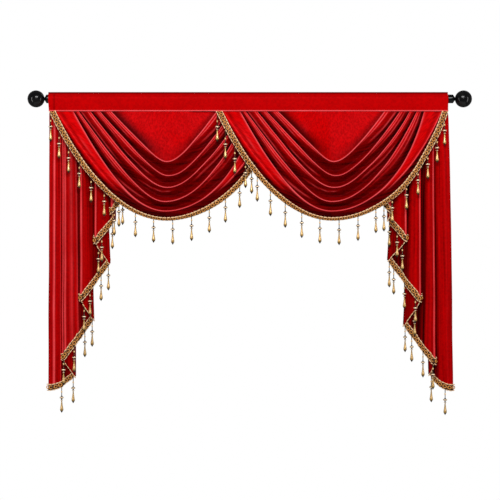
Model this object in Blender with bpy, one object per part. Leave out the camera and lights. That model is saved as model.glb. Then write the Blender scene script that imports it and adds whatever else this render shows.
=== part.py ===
"""A swagged window valance of red velvet, hung by its rod pocket on a black curtain rod.

The cloth is in five cut pieces: a rod pocket folded over the rod, two overlapping swags whose
folds hang in curves from the pocket's lower edge, and a pleated tail behind each end whose
slanting hem steps up in zigzags. A gold braid with hanging bead drops is sewn along the lower
edge of each swag and tail.

Metres, +Z up, +X to the viewer's right, -Y towards the viewer. The origin is the rod's middle.
"""

import math
from collections import namedtuple

import bpy
import numpy as np

MM = 0.001

# The rod and its finials.
ROD_RADIUS = 14.3 * MM
ROD_HALF_LENGTH = 745.5 * MM
ROD_SIDES = 20
FINIAL_GAP = 0.3 * MM
COLLAR_RADIUS = 16.3 * MM
COLLAR_END = 766.0 * MM
NECK_RADIUS = 6.0 * MM
NECK_START = 771.0 * MM
BALL_RADIUS = 32.0 * MM
BALL_CENTRE = 804.6 * MM
BALL_RINGS = 7
BALL_LAST_RING = math.radians(168)

# The cloth, and the pocket that the rod runs through.
CLOTH = 2.0 * MM
POCKET_LEFT = -754.5 * MM
POCKET_RIGHT = 745.4 * MM
POCKET_FLARE = 3.5 * MM
POCKET_BOTTOM = -47.4 * MM
POCKET_CREST = 22.6 * MM
POCKET_ON_ROD = 15.8 * MM
POCKET_ON_COLLAR = 18.1 * MM
COLLAR_COVERED = 14.0 * MM
POCKET_STATIONS = 14
POCKET_RIPPLE = 1.0 * MM
SEAM_FRONT = -13.2 * MM
SEAM_BACK = 2.9 * MM
SEAM_BACK_MIDDLE = -0.8 * MM
TAIL_ZONE = 290.0 * MM

# Every swag and tail is caught this far up inside the pocket's lower edge, and hangs free from
# just below it.
TUCK = 8.0 * MM
TUCK_CORNER = 3.0 * MM
HANG = POCKET_BOTTOM - 1.0 * MM

# The swags. The right one hangs in front of the left one where they cross.
SWAG_SEAM = -10.9 * MM
SWAG_CENTRES = (-321.0 * MM, 310.0 * MM)
SWAG_COLUMNS = 31
SWAG_END_CROWDING = 0.6
SWAG_VALLEY = 0.27
SWAG_PLEAT = 1.2 * MM
SWAG_OVERLAY = 22.0 * MM
SWAG_UNDERLAY = 6.2 * MM
SWAG_FREE_BELOW = 45 * MM

# Each line of a swag runs in a curve from the pocket, left of the swag's middle, down to its
# lowest point and up to the pocket on the right. Left, right: where its ends are caught. Shift:
# how far right of the middle its lowest point is. Drop: how low that is. Forward: how far it
# stands out there. Round: 0 for a V, 1 and more for a parabola. Swell: how far it fills out
# towards an ellipse. Millimetres.
FoldLine = namedtuple(
    "FoldLine",
    "left right shift drop forward round_left round_right swell_left swell_right",
)
SWAG_LINES = (
    FoldLine(150, 145, 11, 0, 0, 0.18, 0.38, 0.00, 0.00),
    FoldLine(202, 198, 11, 190, 26, 0.18, 0.38, 0.00, 0.00),
    FoldLine(244, 256, 17, 243, 32, 0.20, 0.50, 0.00, 0.00),
    FoldLine(279, 292, 14, 287, 36, 0.35, 0.42, 0.00, 0.10),
    FoldLine(323, 319, 6, 340, 39, 0.35, 2.00, 0.00, 0.00),
    FoldLine(342, 346, 6, 375, 40, 1.00, 3.00, 0.00, 0.30),
    FoldLine(400, 393, 5, 384, 38, 0.80, 3.00, 0.00, 0.10),
    FoldLine(430, 433, 9, 408, 10, 3.00, 3.00, 0.07, 0.35),
)
# How far each valley between two of these lines stands out, in order. Millimetres.
SWAG_VALLEYS = (0, 8, 11, 13, 15, 38, 10)

# The tails. A tail is one sheet laid in knife pleats: it runs inward to a fold, back outward in
# front of itself to the next fold, and inward again. Inward: the distance of each edge or fold
# from the pocket's end, at the seam and at the hem. Hem: how far the hem is below the pocket
# there. Deep: how many layer spacings further back the fold lies once the pleats are open.
# Drops: where bead drops hang on the hem up to the next fold, as shares. Millimetres.
Pleat = namedtuple("Pleat", "inward_seam inward_hem hem deep drops")
LEFT_TAIL = (
    Pleat(1, -4, 1048, 0, (0.47, 0.93)),
    Pleat(95, 98, 994, 0, ()),
    Pleat(48, 46, 930, 0, (0.07, 0.38, 0.72, 0.96)),
    Pleat(145, 165, 766, 2, (0.70,)),
    Pleat(114, 115, 702, 0, (0.33, 0.70, 0.96)),
    Pleat(205, 226, 568, 2, (0.74,)),
    Pleat(171, 169, 487, 0, (0.36, 0.86)),
    Pleat(252, 249, 405, 0, ()),
    Pleat(233, 230, 380, 0, (0.25, 0.85)),
    Pleat(280, 281, 318, 0, ()),
)
RIGHT_TAIL = (
    Pleat(1, -21, 1049, 0, (0.34, 0.91)),
    Pleat(82, 71, 988, 0, ()),
    Pleat(52, 45, 950, 0, (0.07, 0.37, 0.73, 0.96)),
    Pleat(130, 164, 804, 2, (0.62,)),
    Pleat(101, 100, 713, 0, (0.17, 0.48, 0.80, 0.96)),
    Pleat(190, 224, 551, 2, (0.76,)),
    Pleat(154, 153, 478, 0, (0.50, 0.93)),
    Pleat(228, 226, 410, 0, ()),
    Pleat(214, 212, 378, 0, (0.60,)),
    Pleat(258, 257, 329, 0, ()),
)
TAIL_SAG = 10 * MM
TAIL_SEAM = -6.9 * MM
TAIL_FREE = -2.0 * MM
TAIL_FREE_BELOW = 80.0 * MM
LAYER_SEAM = 3.2 * MM
LAYER_HEM = 11.0 * MM
LAYER_OPEN_BELOW = 250.0 * MM
TAIL_UPPER_ROWS = (-TUCK, 0.0, 80 * MM, 160 * MM, LAYER_OPEN_BELOW)
TAIL_LOWER_ROWS = 4

# The braid, and the bead drops that hang from its lower edge.
BRAID_WIDTH = 22.5 * MM
BRAID_THICK = 1.6 * MM
BRAID_GAP = 0.8 * MM
BRAID_CLEAR = 1.0 * MM
BRAID_LARGEST_SHARE = 0.8
BRAID_ACROSS = CLOTH / 2 + BRAID_GAP + BRAID_THICK / 2
STRING_HALF = 0.8 * MM
DROPS_ON_SWAG = 18
FIRST_DROP = 0.1
LAST_DROP = 0.5
DROP_LEAN = 3.0 * MM
OVERLAP_LEANS = (12 * MM, 8 * MM, 4 * MM)
# Below: distance under the braid's edge. Radius: of the string, disc bead or teardrop there.
BeadRing = namedtuple("BeadRing", "below radius")
BEAD_RINGS = (
    BeadRing(26, 1.0),
    BeadRing(35, 6.8),
    BeadRing(43, 1.2),
    BeadRing(54, 1.6),
    BeadRing(80, 6.0),
)
BEAD_TIP = 92.0 * MM


def clear_scene():
    """Removes every object that the file starts with."""
    for old in list(bpy.data.objects):
        bpy.data.objects.remove(old)


def make_material(name, colour, roughness, metallic):
    """A plain Principled material."""
    material = bpy.data.materials.new(name)
    material.use_nodes = True
    shader = material.node_tree.nodes["Principled BSDF"]
    shader.inputs["Base Color"].default_value = (*colour, 1.0)
    shader.inputs["Roughness"].default_value = roughness
    shader.inputs["Metallic"].default_value = metallic
    return material


def signed_volume(points, faces):
    """Six times the volume inside a closed mesh, negative where its faces point inwards."""
    total = 0.0
    for face in faces:
        for second, third in zip(face[1:-1], face[2:]):
            total += np.dot(points[face[0]], np.cross(points[second], points[third]))
    return total


def make_node(name, points, faces, material, smooth_degrees=40):
    """One object from a closed mesh, its faces turned to point outwards."""
    points = np.asarray(points, float)
    if signed_volume(points, faces) < 0:
        faces = [tuple(reversed(face)) for face in faces]
    mesh = bpy.data.meshes.new(name)
    mesh.from_pydata([tuple(point) for point in points], [], faces)
    mesh.validate()
    mesh.shade_smooth()
    mesh.set_sharp_from_angle(angle=math.radians(smooth_degrees))
    mesh.materials.append(material)
    node = bpy.data.objects.new(name, mesh)
    bpy.context.scene.collection.objects.link(node)
    return node


def ease(value):
    """0 below 0, 1 above 1, and a smooth rise between."""
    value = min(max(value, 0.0), 1.0)
    return value * value * (3 - 2 * value)


def between(a, b, share):
    """The point or number at a share of the way from a to b."""
    return a + (b - a) * share


def unit(vector):
    """The vector, or each vector of an array, at length 1."""
    return vector / np.maximum(np.linalg.norm(vector, axis=-1, keepdims=True), 1e-12)


def halves(points, corners, lift):
    """Two triangles from four corners, split so that the fold between them lies towards lift."""
    a, b, c, d = (points[corner] for corner in corners)
    normal = np.cross(c - a, d - b)
    first, second, third, fourth = corners
    if np.dot(normal, a + c - b - d) * np.dot(normal, lift) > 0:
        return ((first, second, third), (first, third, fourth))
    return ((first, second, fourth), (second, third, fourth))


def sheet_normals(grid):
    """The direction square to a grid of points, at each of them."""
    return unit(np.cross(np.gradient(grid, axis=1), np.gradient(grid, axis=0)))


def thick_sheet(grid, thickness):
    """Points and faces of a closed sheet whose middle surface is a grid of points. The sheet's
    first point faces the viewer, and its triangles leave that side of the cloth hollow."""
    rows, columns = grid.shape[:2]
    normals = sheet_normals(grid)
    hollow = normals * math.copysign(1, normals[0, 0, 1])
    offset = normals * thickness / 2
    points = np.concatenate([(grid - offset).reshape(-1, 3), (grid + offset).reshape(-1, 3)])
    behind = rows * columns
    faces = []
    for row in range(rows - 1):
        for column in range(columns - 1):
            a = row * columns + column
            corners = (a, a + 1, a + 1 + columns, a + columns)
            for half in halves(points, corners, hollow[row, column]):
                faces.append(half)
                faces.append(tuple(behind + k for k in reversed(half)))
    rim = [column for column in range(columns)]
    rim += [row * columns + columns - 1 for row in range(1, rows)]
    rim += [(rows - 1) * columns + column for column in range(columns - 2, -1, -1)]
    rim += [row * columns for row in range(rows - 2, 0, -1)]
    for a, b in zip(rim, rim[1:] + rim[:1]):
        faces.append((b, a, behind + a, behind + b))
    return points, faces


def turned_along_x(profile, sides):
    """Points and faces of a solid turned about the X axis, from (x, radius) pairs."""
    points = [(profile[0][0], 0.0, 0.0)]
    for x, radius in profile:
        for side in range(sides):
            angle = 2 * math.pi * side / sides
            points.append((x, radius * math.cos(angle), radius * math.sin(angle)))
    points.append((profile[-1][0], 0.0, 0.0))
    last = len(points) - 1
    faces = []
    for side in range(sides):
        after = (side + 1) % sides
        faces.append((0, 1 + after, 1 + side))
        for ring in range(len(profile) - 1):
            a = 1 + ring * sides
            faces.append((a + side, a + after, a + sides + after, a + sides + side))
        faces.append((last, last - sides + side, last - sides + after))
    return points, faces


def make_rod(material):
    """The rod, a plain bar from finial to finial."""
    ends = [(-ROD_HALF_LENGTH, ROD_RADIUS), (ROD_HALF_LENGTH, ROD_RADIUS)]
    points, faces = turned_along_x(ends, ROD_SIDES)
    make_node("rod", points, faces, material)


def make_finial(name, side, material):
    """A finial: a collar against the rod's end, a thin neck and a ball. Side is -1 or 1."""
    profile = [
        (ROD_HALF_LENGTH + FINIAL_GAP, COLLAR_RADIUS),
        (COLLAR_END, COLLAR_RADIUS),
        (NECK_START, NECK_RADIUS),
    ]
    first = math.asin(NECK_RADIUS / BALL_RADIUS)
    for ring in range(BALL_RINGS):
        angle = between(first, BALL_LAST_RING, ring / (BALL_RINGS - 1))
        profile.append(
            (BALL_CENTRE - BALL_RADIUS * math.cos(angle), BALL_RADIUS * math.sin(angle))
        )
    points, faces = turned_along_x([(side * x, radius) for x, radius in profile], ROD_SIDES)
    make_node(name, points, faces, material)


def pocket_section(x):
    """The pocket's folded section at x: up the front, over the rod, and down the back."""
    ends = min(x - POCKET_LEFT, POCKET_RIGHT - x)
    back = between(SEAM_BACK, SEAM_BACK_MIDDLE, ease((ends - TAIL_ZONE) / (TAIL_ZONE / 2)))
    beside_collar = 1 - ease((x - POCKET_LEFT - COLLAR_COVERED) / (2 * COLLAR_COVERED))
    round_rod = between(POCKET_ON_ROD, POCKET_ON_COLLAR, beside_collar)
    ripple = POCKET_RIPPLE * (0.5 + 0.5 * math.sin(x / (41 * MM)) * math.sin(x / (97 * MM) + 1))
    shoulder = math.acos(round_rod / POCKET_CREST)
    over = [(round_rod, math.pi / 2), (1.02 * round_rod, math.pi / 4 + shoulder / 2)]
    over += [(round_rod, shoulder)]
    rising = [(radius * math.sin(angle), radius * math.cos(angle)) for radius, angle in over]
    front = [(SEAM_FRONT, POCKET_BOTTOM), (-0.92 * round_rod - ripple, 0.55 * POCKET_BOTTOM)]
    front += [(-y - ripple, z) for y, z in rising[:2]] + [(-rising[2][0], rising[2][1])]
    behind = [(0.75 * round_rod, 0.45 * POCKET_BOTTOM), (back, POCKET_BOTTOM)]
    return np.array(front + [(0, POCKET_CREST)] + rising[::-1] + behind)


def make_pocket(material):
    """The rod pocket: one strip folded over the rod, with a slightly flared left end."""
    places = [POCKET_LEFT, POCKET_LEFT + COLLAR_COVERED]
    for index in range(POCKET_STATIONS):
        first = POCKET_LEFT + 3 * COLLAR_COVERED
        places.append(between(first, POCKET_RIGHT, index / (POCKET_STATIONS - 1)))
    stations = []
    for x in places:
        section = pocket_section(x)
        flare = POCKET_FLARE if x == POCKET_LEFT else 0.0
        height = (section[:, 1] - POCKET_BOTTOM) / (section[:, 1].max() - POCKET_BOTTOM)
        stations.append(np.column_stack([x - flare * height, section]))
    points, faces = thick_sheet(np.array(stations), CLOTH)
    make_node("rod_pocket", points, faces, material)


def fall(share, roundness, swell):
    """How far up a swag line has climbed, 0 at its lowest point and 1 where it is caught."""
    curve = math.hypot(share, roundness) - roundness
    curve /= math.hypot(1, roundness) - roundness
    return (1 - swell) * curve + swell * share**6


def line_point(line, across):
    """Where a swag line is at across, -1 at its left end and 1 at its right: x, z, forward."""
    share = abs(across)
    if across < 0:
        x = line.shift + across * (line.left + line.shift)
        climbed = fall(share, line.round_left, line.swell_left)
    else:
        x = line.shift + across * (line.right - line.shift)
        climbed = fall(share, line.round_right, line.swell_right)
    return np.array([x, -line.drop * (1 - climbed)])


def swag_rows():
    """The rows of a swag's mesh: the line above, the share of the way to the next line, and how
    far the row stands out at the swag's middle."""
    rows = [(0, share, SWAG_LINES[1].forward * share**1.5) for share in (0, 0.3, 0.6, 0.85)]
    for index in range(1, len(SWAG_LINES) - 1):
        crest = SWAG_LINES[index].forward
        valley = SWAG_VALLEYS[index]
        ahead = SWAG_LINES[index + 1].forward
        rows.append((index, 0.0, crest))
        if index < 5:
            rows.append((index, SWAG_VALLEY * 0.6, between(valley, crest, 0.6)))
            rows.append((index, SWAG_VALLEY, valley))
            rows.append((index, 0.55, between(valley, ahead, 0.62)))
        elif index == 5:
            rows.append((index, 0.5, crest))
    rows.append((len(SWAG_LINES) - 2, 1.0, SWAG_LINES[-1].forward))
    return rows


def swag_depth(row, across, below, is_front):
    """How far a point of a swag stands out from the seam's plane, in metres."""
    index, share, forward = row
    reach = 2.2
    if not is_front and across > 0:
        reach = 1.4
    freedom = 1 - abs(across) ** reach
    depth = forward * MM * freedom
    in_valley = 1 - abs(share - SWAG_VALLEY) / SWAG_VALLEY
    if 0 < index < 5 and in_valley > 0:
        depth -= SWAG_PLEAT * in_valley * (1 - freedom)
    free = 1 - math.exp(-below / SWAG_FREE_BELOW)
    if is_front:
        depth += SWAG_OVERLAY * ease((-across - 0.05) / 0.5) * free
    else:
        depth -= SWAG_UNDERLAY * ease((across - 0.5) / 0.3)
    return depth


def swag_grid(centre, is_front):
    """The middle surface of a swag, as rows of points from the seam down to its lower edge."""
    grid = []
    for row in swag_rows():
        index, share, _ = row
        points = []
        for column in range(SWAG_COLUMNS):
            even = between(-1.0, 1.0, column / (SWAG_COLUMNS - 1))
            across = between(even, math.sin(even * math.pi / 2), SWAG_END_CROWDING)
            upper = line_point(SWAG_LINES[index], across)
            lower = line_point(SWAG_LINES[index + 1], across)
            x, z = between(upper, lower, share) * MM
            y = SWAG_SEAM - swag_depth(row, across, -z, is_front)
            points.append((centre + x, y, HANG + z))
        grid.append(points)
    grid = np.array(grid)
    return np.concatenate([grid[:-1], [braid_top(grid)], grid[-1:]])


def braid_top(grid):
    """The line on a swag, above its lower edge, where the braid's upper side lies."""
    lower, above = grid[-1], grid[-2]
    along = unit(np.gradient(lower, axis=0))
    across = above - lower
    square = across - (across * along).sum(axis=1, keepdims=True) * along
    share = BRAID_WIDTH / np.maximum(np.linalg.norm(square, axis=1), BRAID_THICK)
    return lower + across * np.minimum(share, BRAID_LARGEST_SHARE)[:, None]


def caught_edge(grid):
    """A swag's grid with one more point on each side but the lowest, up inside the pocket."""
    top, left, right = grid[0].copy(), grid[:, 0].copy(), grid[:, -1].copy()
    for line in (top, left, right):
        line[:, 2] += TUCK
    top[0, 0] += TUCK_CORNER
    top[-1, 0] -= TUCK_CORNER
    left[0, 0] -= TUCK_CORNER
    right[0, 0] += TUCK_CORNER
    corners = []
    for corner in (grid[0, 0], grid[0, -1]):
        corners.append(corner + np.array([0, 0, TUCK + TUCK_CORNER]))
    top = np.concatenate([corners[:1], top, corners[1:]])
    wide = np.concatenate([left[:, None], grid, right[:, None]], axis=1)
    return np.concatenate([top[None], wide])


def make_swag(name, grid, material):
    """A swag: one cut piece of cloth, hanging in curved folds."""
    points, faces = thick_sheet(caught_edge(grid), CLOTH)
    make_node(name, points, faces, material)


# Share: the share of the way from a fold, numbered from 0 at the outer edge, to the next one.
# Level: how many layer spacings behind the front. Aside: how many spacings further in. Deep: how
# much of the fold's own deep it takes, or of the next fold's where the share is above 0.
Section = namedtuple("Section", "fold share level aside deep")


def tail_sections(pleats):
    """The sections across a tail's cloth, from its outer edge to its inner one."""
    sections = [
        Section(0, 0.0, 0.8, 0, 0),
        Section(0, 0.13, 0.4, 0, 0),
        Section(0, 0.25, 0.15, 0, 0),
        Section(0, 0.37, 0.9, 0, 0),
        Section(0, 0.52, 1.9, 0, 0),
    ]
    last = len(pleats) - 1
    for fold in range(1, last):
        if fold % 2:
            sections += [
                Section(fold - 1, 1.0, 2.0, -0.5, 1),
                Section(fold, 0.0, 1.5, 0, 1),
                Section(fold, 0.0, 1.0, -0.5, 1),
            ]
            continue
        sections += [
            Section(fold - 1, 1.0, 1.0, 0.5, 0),
            Section(fold, 0.0, 0.5, 0, 0),
            Section(fold, 0.0, 0.0, 0.5, 0),
        ]
        if fold == last - 1:
            sections.append(Section(fold, 0.5, 0.3, 0, 0))
            continue
        start, back = pleats[fold].inward_hem, pleats[fold + 1].inward_hem
        shown = (pleats[fold + 2].inward_hem - start) / (back - start)
        sections += [
            Section(fold, 0.35 * shown, 0.25, 0, 0),
            Section(fold, 0.62 * shown, 0.0, 0, 0),
            Section(fold, 0.84 * shown, 0.42, 0, 0),
            Section(fold, min(shown + 0.01, 0.9), 1.75, 0, 0),
        ]
    sections.append(Section(last - 1, 1.0, 0.9, 0, 0))
    return sections


def pleat_inward(pleat, below):
    """How far in a fold lies at a distance below the seam, in metres."""
    return between(pleat.inward_seam, pleat.inward_hem, below / (pleat.hem * MM)) * MM


def tail_point(pleats, section, below, end, inward_sign):
    """The point of a tail's cloth at a section, at a distance below the pocket's lower edge."""
    fold, following = section.fold, min(section.fold + 1, len(pleats) - 1)
    opened = ease(below / LAYER_OPEN_BELOW)
    spacing = between(LAYER_SEAM, LAYER_HEM, opened)
    inward = between(
        pleat_inward(pleats[fold], below), pleat_inward(pleats[following], below), section.share
    )
    inward += section.aside * spacing
    owner = following if section.share > 0 else fold
    level = section.level + section.deep * pleats[owner].deep * opened
    front = between(TAIL_SEAM, TAIL_FREE, ease(below / TAIL_FREE_BELOW))
    return np.array([end + inward_sign * inward, front + level * spacing, POCKET_BOTTOM - below])


def tail_hem(pleats, section):
    """How far the hem is below the pocket at a section."""
    following = min(section.fold + 1, len(pleats) - 1)
    hem = between(pleats[section.fold].hem, pleats[following].hem, section.share) * MM
    if section.fold == 0:
        hem += TAIL_SAG * 4 * section.share * (1 - section.share)
    return hem


def tail_grid(pleats, end, inward_sign):
    """The middle surface of a tail, as rows of points from the seam down to its hem."""
    columns = []
    for section in tail_sections(pleats):
        hem = tail_hem(pleats, section)
        depths = list(TAIL_UPPER_ROWS)
        for row in range(1, TAIL_LOWER_ROWS + 1):
            depths.append(between(LAYER_OPEN_BELOW, hem, row / TAIL_LOWER_ROWS))
        columns.append([tail_point(pleats, section, below, end, inward_sign) for below in depths])
    return np.array(columns).transpose(1, 0, 2)


def make_tail(name, grid, material):
    """A tail: one cut piece of cloth in knife pleats, longest at its outer edge."""
    points, faces = thick_sheet(grid, CLOTH)
    make_node(name, points, faces, material)


def edge_at(line, place):
    """The point of a line of points at a place counted in points, such as 3.5."""
    index = min(int(place), len(line) - 2)
    return between(line[index], line[index + 1], place - index)


def braid_and_drops(upper, lower, upper_out, lower_out, places, drops, leans):
    """A braid laid on a cloth between two lines of points, with bead drops fused to its lower
    edge. Upper_out and lower_out point away from the cloth's face. Places are the braid's
    stations and drops are where drops hang, counted in points."""
    half = {}
    lengths = np.concatenate([[0], np.cumsum(np.linalg.norm(np.diff(lower, axis=0), axis=1))])
    for drop, lean in zip(drops, leans):
        along = np.interp(drop, range(len(lower)), lengths)
        pair = np.interp([along - STRING_HALF, along + STRING_HALF], lengths, range(len(lower)))
        half[pair[0]] = lean
        places = [place for place in places if not pair[0] - 0.02 < place < pair[1] + 0.02]
        places += [pair[0], pair[1]]
    places = sorted(places)
    points, faces = [], []
    for place in places:
        high, low = edge_at(upper, place), edge_at(lower, place)
        high_out, low_out = edge_at(upper_out, place), edge_at(lower_out, place)
        near, far = BRAID_ACROSS - BRAID_THICK / 2, BRAID_ACROSS + BRAID_THICK / 2
        points += [high + high_out * far, low + low_out * far]
        points += [low + low_out * near, high + high_out * near]
    for station in range(len(places) - 1):
        a, b = 4 * station, 4 * station + 4
        for k in (0, 1, 2, 3):
            if k == 1 and places[station] in half:
                continue
            after = (k + 1) % 4
            faces += halves(points, (a + k, b + k, b + after, a + after), points[a] - points[a + 3])
    faces.append((0, 1, 2, 3))
    faces.append(tuple(len(points) - 4 + k for k in (3, 2, 1, 0)))
    for station, place in enumerate(places):
        if place in half:
            add_drop(points, faces, 4 * station, half[place])
    return points, faces


def add_drop(points, faces, first, lean):
    """Hangs one bead drop from the open face of a braid's lower edge, leaning forward by lean."""
    ring = [first + 1, first + 5, first + 6, first + 2]
    middle = sum(np.array(points[k]) for k in ring) / 4
    directions = []
    for k in ring:
        flat = np.array(points[k]) - middle
        directions.append(math.atan2(flat[1], flat[0]))
    turn = directions[0]
    turning = math.copysign(1, math.sin(directions[1] - directions[0]))
    for bead in BEAD_RINGS:
        below = bead.below * MM
        centre = middle - np.array([0, lean * ease(below / (30 * MM)), below])
        start = len(points)
        for k in range(4):
            angle = turn + turning * k * math.pi / 2
            spoke = np.array([math.cos(angle), math.sin(angle), 0]) * bead.radius * MM
            points.append(centre + spoke)
        fresh = list(range(start, start + 4))
        for k in range(4):
            after = (k + 1) % 4
            faces.append((ring[k], ring[after], fresh[after], fresh[k]))
        ring = fresh
    points.append(middle - np.array([0, lean, BEAD_TIP]))
    tip = len(points) - 1
    for k in range(4):
        faces.append((ring[k], ring[(k + 1) % 4], tip))


def swag_fringe(name, grid, is_front, material):
    """The braid and bead drops along a swag's lower edge. The first drops of the front swag lean
    out over the swag behind it."""
    lower, upper = grid[-1], grid[-2]
    normals = sheet_normals(caught_edge(grid))[1:, 1:-1]
    facing = -np.sign(normals[-1, len(lower) // 2, 1])
    lower_out, upper_out = normals[-1] * facing, normals[-2] * facing
    limit = HANG - BRAID_CLEAR
    middle = len(lower) // 2
    start = np.interp(-limit, -upper[:middle, 2], range(middle))
    stop = np.interp(limit, upper[middle:, 2], range(middle, len(lower)))
    lengths = np.concatenate([[0], np.cumsum(np.linalg.norm(np.diff(lower, axis=0), axis=1))])
    first, last = np.interp([start, stop], range(len(lower)), lengths)
    spacing = (last - first) / DROPS_ON_SWAG
    first += FIRST_DROP * spacing
    last -= LAST_DROP * spacing
    hung = [between(first, last, index / (DROPS_ON_SWAG - 1)) for index in range(DROPS_ON_SWAG)]
    drops = list(np.interp(hung, lengths, range(len(lower))))
    places = [start] + [place for place in range(len(lower)) if start < place < stop] + [stop]
    leans = [0.0] * len(drops)
    if is_front:
        leans[: len(OVERLAP_LEANS)] = OVERLAP_LEANS
    points, faces = braid_and_drops(upper, lower, upper_out, lower_out, places, drops, leans)
    make_node(name, points, faces, material)


def tail_fringe(name, pleats, end, inward_sign, material):
    """The braid and bead drops along a tail's slanting hem, on the cloth's face."""
    sections = tail_sections(pleats)
    hems = [tail_hem(pleats, section) for section in sections]
    lower = np.array(
        [tail_point(pleats, s, hem, end, inward_sign) for s, hem in zip(sections, hems)]
    )
    along = np.gradient(lower, axis=0)
    level = unit(along * np.array([1, 1, 0]))
    rise = np.linalg.norm(along, axis=1) / np.linalg.norm(along[:, :2], axis=1)
    heights = BRAID_WIDTH * np.minimum(rise, 1.8)
    upper = np.array(
        [
            tail_point(pleats, s, hem - height, end, inward_sign)
            for s, hem, height in zip(sections, hems, heights)
        ]
    )
    front = np.cross(level, np.array([0, 0, 1.0])) * inward_sign
    places = list(range(len(sections)))
    marks = [section.fold + section.share for section in sections]
    drops, leans = [], []
    for fold, pleat in enumerate(pleats):
        for share in pleat.drops:
            drops.append(np.interp(fold + share, marks, places))
            leans.append(DROP_LEAN if fold % 2 else 0.0)
    points, faces = braid_and_drops(upper, lower, front, front, places, drops, leans)
    make_node(name, points, faces, material)


def build():
    """Builds the whole valance."""
    clear_scene()
    velvet = make_material("velvet", (0.50, 0.005, 0.006), 0.55, 0.0)
    gold = make_material("gold_braid", (0.62, 0.36, 0.11), 0.45, 0.4)
    black = make_material("black_rod", (0.01, 0.01, 0.01), 0.3, 0.0)
    make_rod(black)
    make_finial("finial_left", -1, black)
    make_finial("finial_right", 1, black)
    make_pocket(velvet)
    for side, centre in zip(("left", "right"), SWAG_CENTRES):
        grid = swag_grid(centre, side == "right")
        make_swag(f"swag_{side}", grid, velvet)
        swag_fringe(f"fringe_swag_{side}", grid, side == "right", gold)
    tails = (("left", LEFT_TAIL, POCKET_LEFT, 1), ("right", RIGHT_TAIL, POCKET_RIGHT, -1))
    for side, pleats, end, inward_sign in tails:
        make_tail(f"tail_{side}", tail_grid(pleats, end, inward_sign), velvet)
        tail_fringe(f"fringe_tail_{side}", pleats, end, inward_sign, gold)


build()
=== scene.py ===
"""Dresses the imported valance: red velvet in folds, gimp braid, bead drops, a black lacquered rod.

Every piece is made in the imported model's own frame: metres, +Z up, the viewer at -Y, and the
rod's middle at the origin. The fold tables start from those of the part's source, with a few
lines and hems moved by up to 2 cm, to where a closer look found them.
"""

import logging
import math
from dataclasses import dataclass
from enum import Enum

import bpy
import numpy as np
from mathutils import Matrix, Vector

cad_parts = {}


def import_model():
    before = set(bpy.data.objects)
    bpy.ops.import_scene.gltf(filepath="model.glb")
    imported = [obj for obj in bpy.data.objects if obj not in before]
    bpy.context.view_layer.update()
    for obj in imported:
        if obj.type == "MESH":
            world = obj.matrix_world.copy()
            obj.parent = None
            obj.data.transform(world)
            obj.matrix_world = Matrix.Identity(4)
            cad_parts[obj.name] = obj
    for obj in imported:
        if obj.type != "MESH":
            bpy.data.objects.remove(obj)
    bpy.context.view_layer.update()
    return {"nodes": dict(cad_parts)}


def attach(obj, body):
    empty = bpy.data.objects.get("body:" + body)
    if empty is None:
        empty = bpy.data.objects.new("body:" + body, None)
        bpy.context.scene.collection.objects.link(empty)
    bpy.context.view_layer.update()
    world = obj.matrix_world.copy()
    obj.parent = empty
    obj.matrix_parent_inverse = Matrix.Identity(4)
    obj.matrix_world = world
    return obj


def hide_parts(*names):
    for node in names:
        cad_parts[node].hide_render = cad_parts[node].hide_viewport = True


MM = 0.001
LOG = logging.getLogger("valance")

# The pocket's ends and lower edge, the height that the swags hang from, and how far the swags and
# tails reach up behind the pocket.
POCKET_LEFT = -754.5 * MM
POCKET_RIGHT = 745.4 * MM
POCKET_BOTTOM = -47.4 * MM
HANG = POCKET_BOTTOM - 1.0 * MM
TUCK = 8.0 * MM
# The velvet's thickness, the braid's width, and the lines of points under the braid.
CLOTH = 1.6 * MM
BRAID_WIDTH = 19.5 * MM
BRAID_LINES = 5
# How far drops hang in front of the cloth's middle, how far down one its lean is complete, and how
# much of its top is drawn up to lengthen its string.
DROP_LIFT = 1.7 * MM
DROP_REACH = 30 * MM
DROP_TOP = 5 * MM
# One whole wave, in radians.
WAVE = 6.283


class Side(Enum):
    """The viewer's left or right."""

    LEFT = "left"
    RIGHT = "right"


# Shader building.


class Value:
    """A shader socket that can be used in Python arithmetic."""

    def __init__(self, maker: "NodeMaker", socket: bpy.types.NodeSocket) -> None:
        """Wraps a socket.

        Args:
            maker: the node maker that owns the tree.
            socket: the output socket to wrap.
        """
        self.maker = maker
        self.socket = socket

    def _math(self, operation: str, left: "Value | float", right: "Value | float") -> "Value":
        """Adds one Math node and returns its result."""
        return self.maker.add("ShaderNodeMath", {"operation": operation}, {0: left, 1: right})

    def __add__(self, other: "Value | float") -> "Value":
        """self + other."""
        return self._math("ADD", self, other)

    def __radd__(self, other: float) -> "Value":
        """other + self."""
        return self._math("ADD", other, self)

    def __sub__(self, other: "Value | float") -> "Value":
        """self - other."""
        return self._math("SUBTRACT", self, other)

    def __rsub__(self, other: float) -> "Value":
        """other - self."""
        return self._math("SUBTRACT", other, self)

    def __mul__(self, other: "Value | float") -> "Value":
        """self * other."""
        return self._math("MULTIPLY", self, other)

    def __rmul__(self, other: float) -> "Value":
        """other * self."""
        return self._math("MULTIPLY", other, self)


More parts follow.
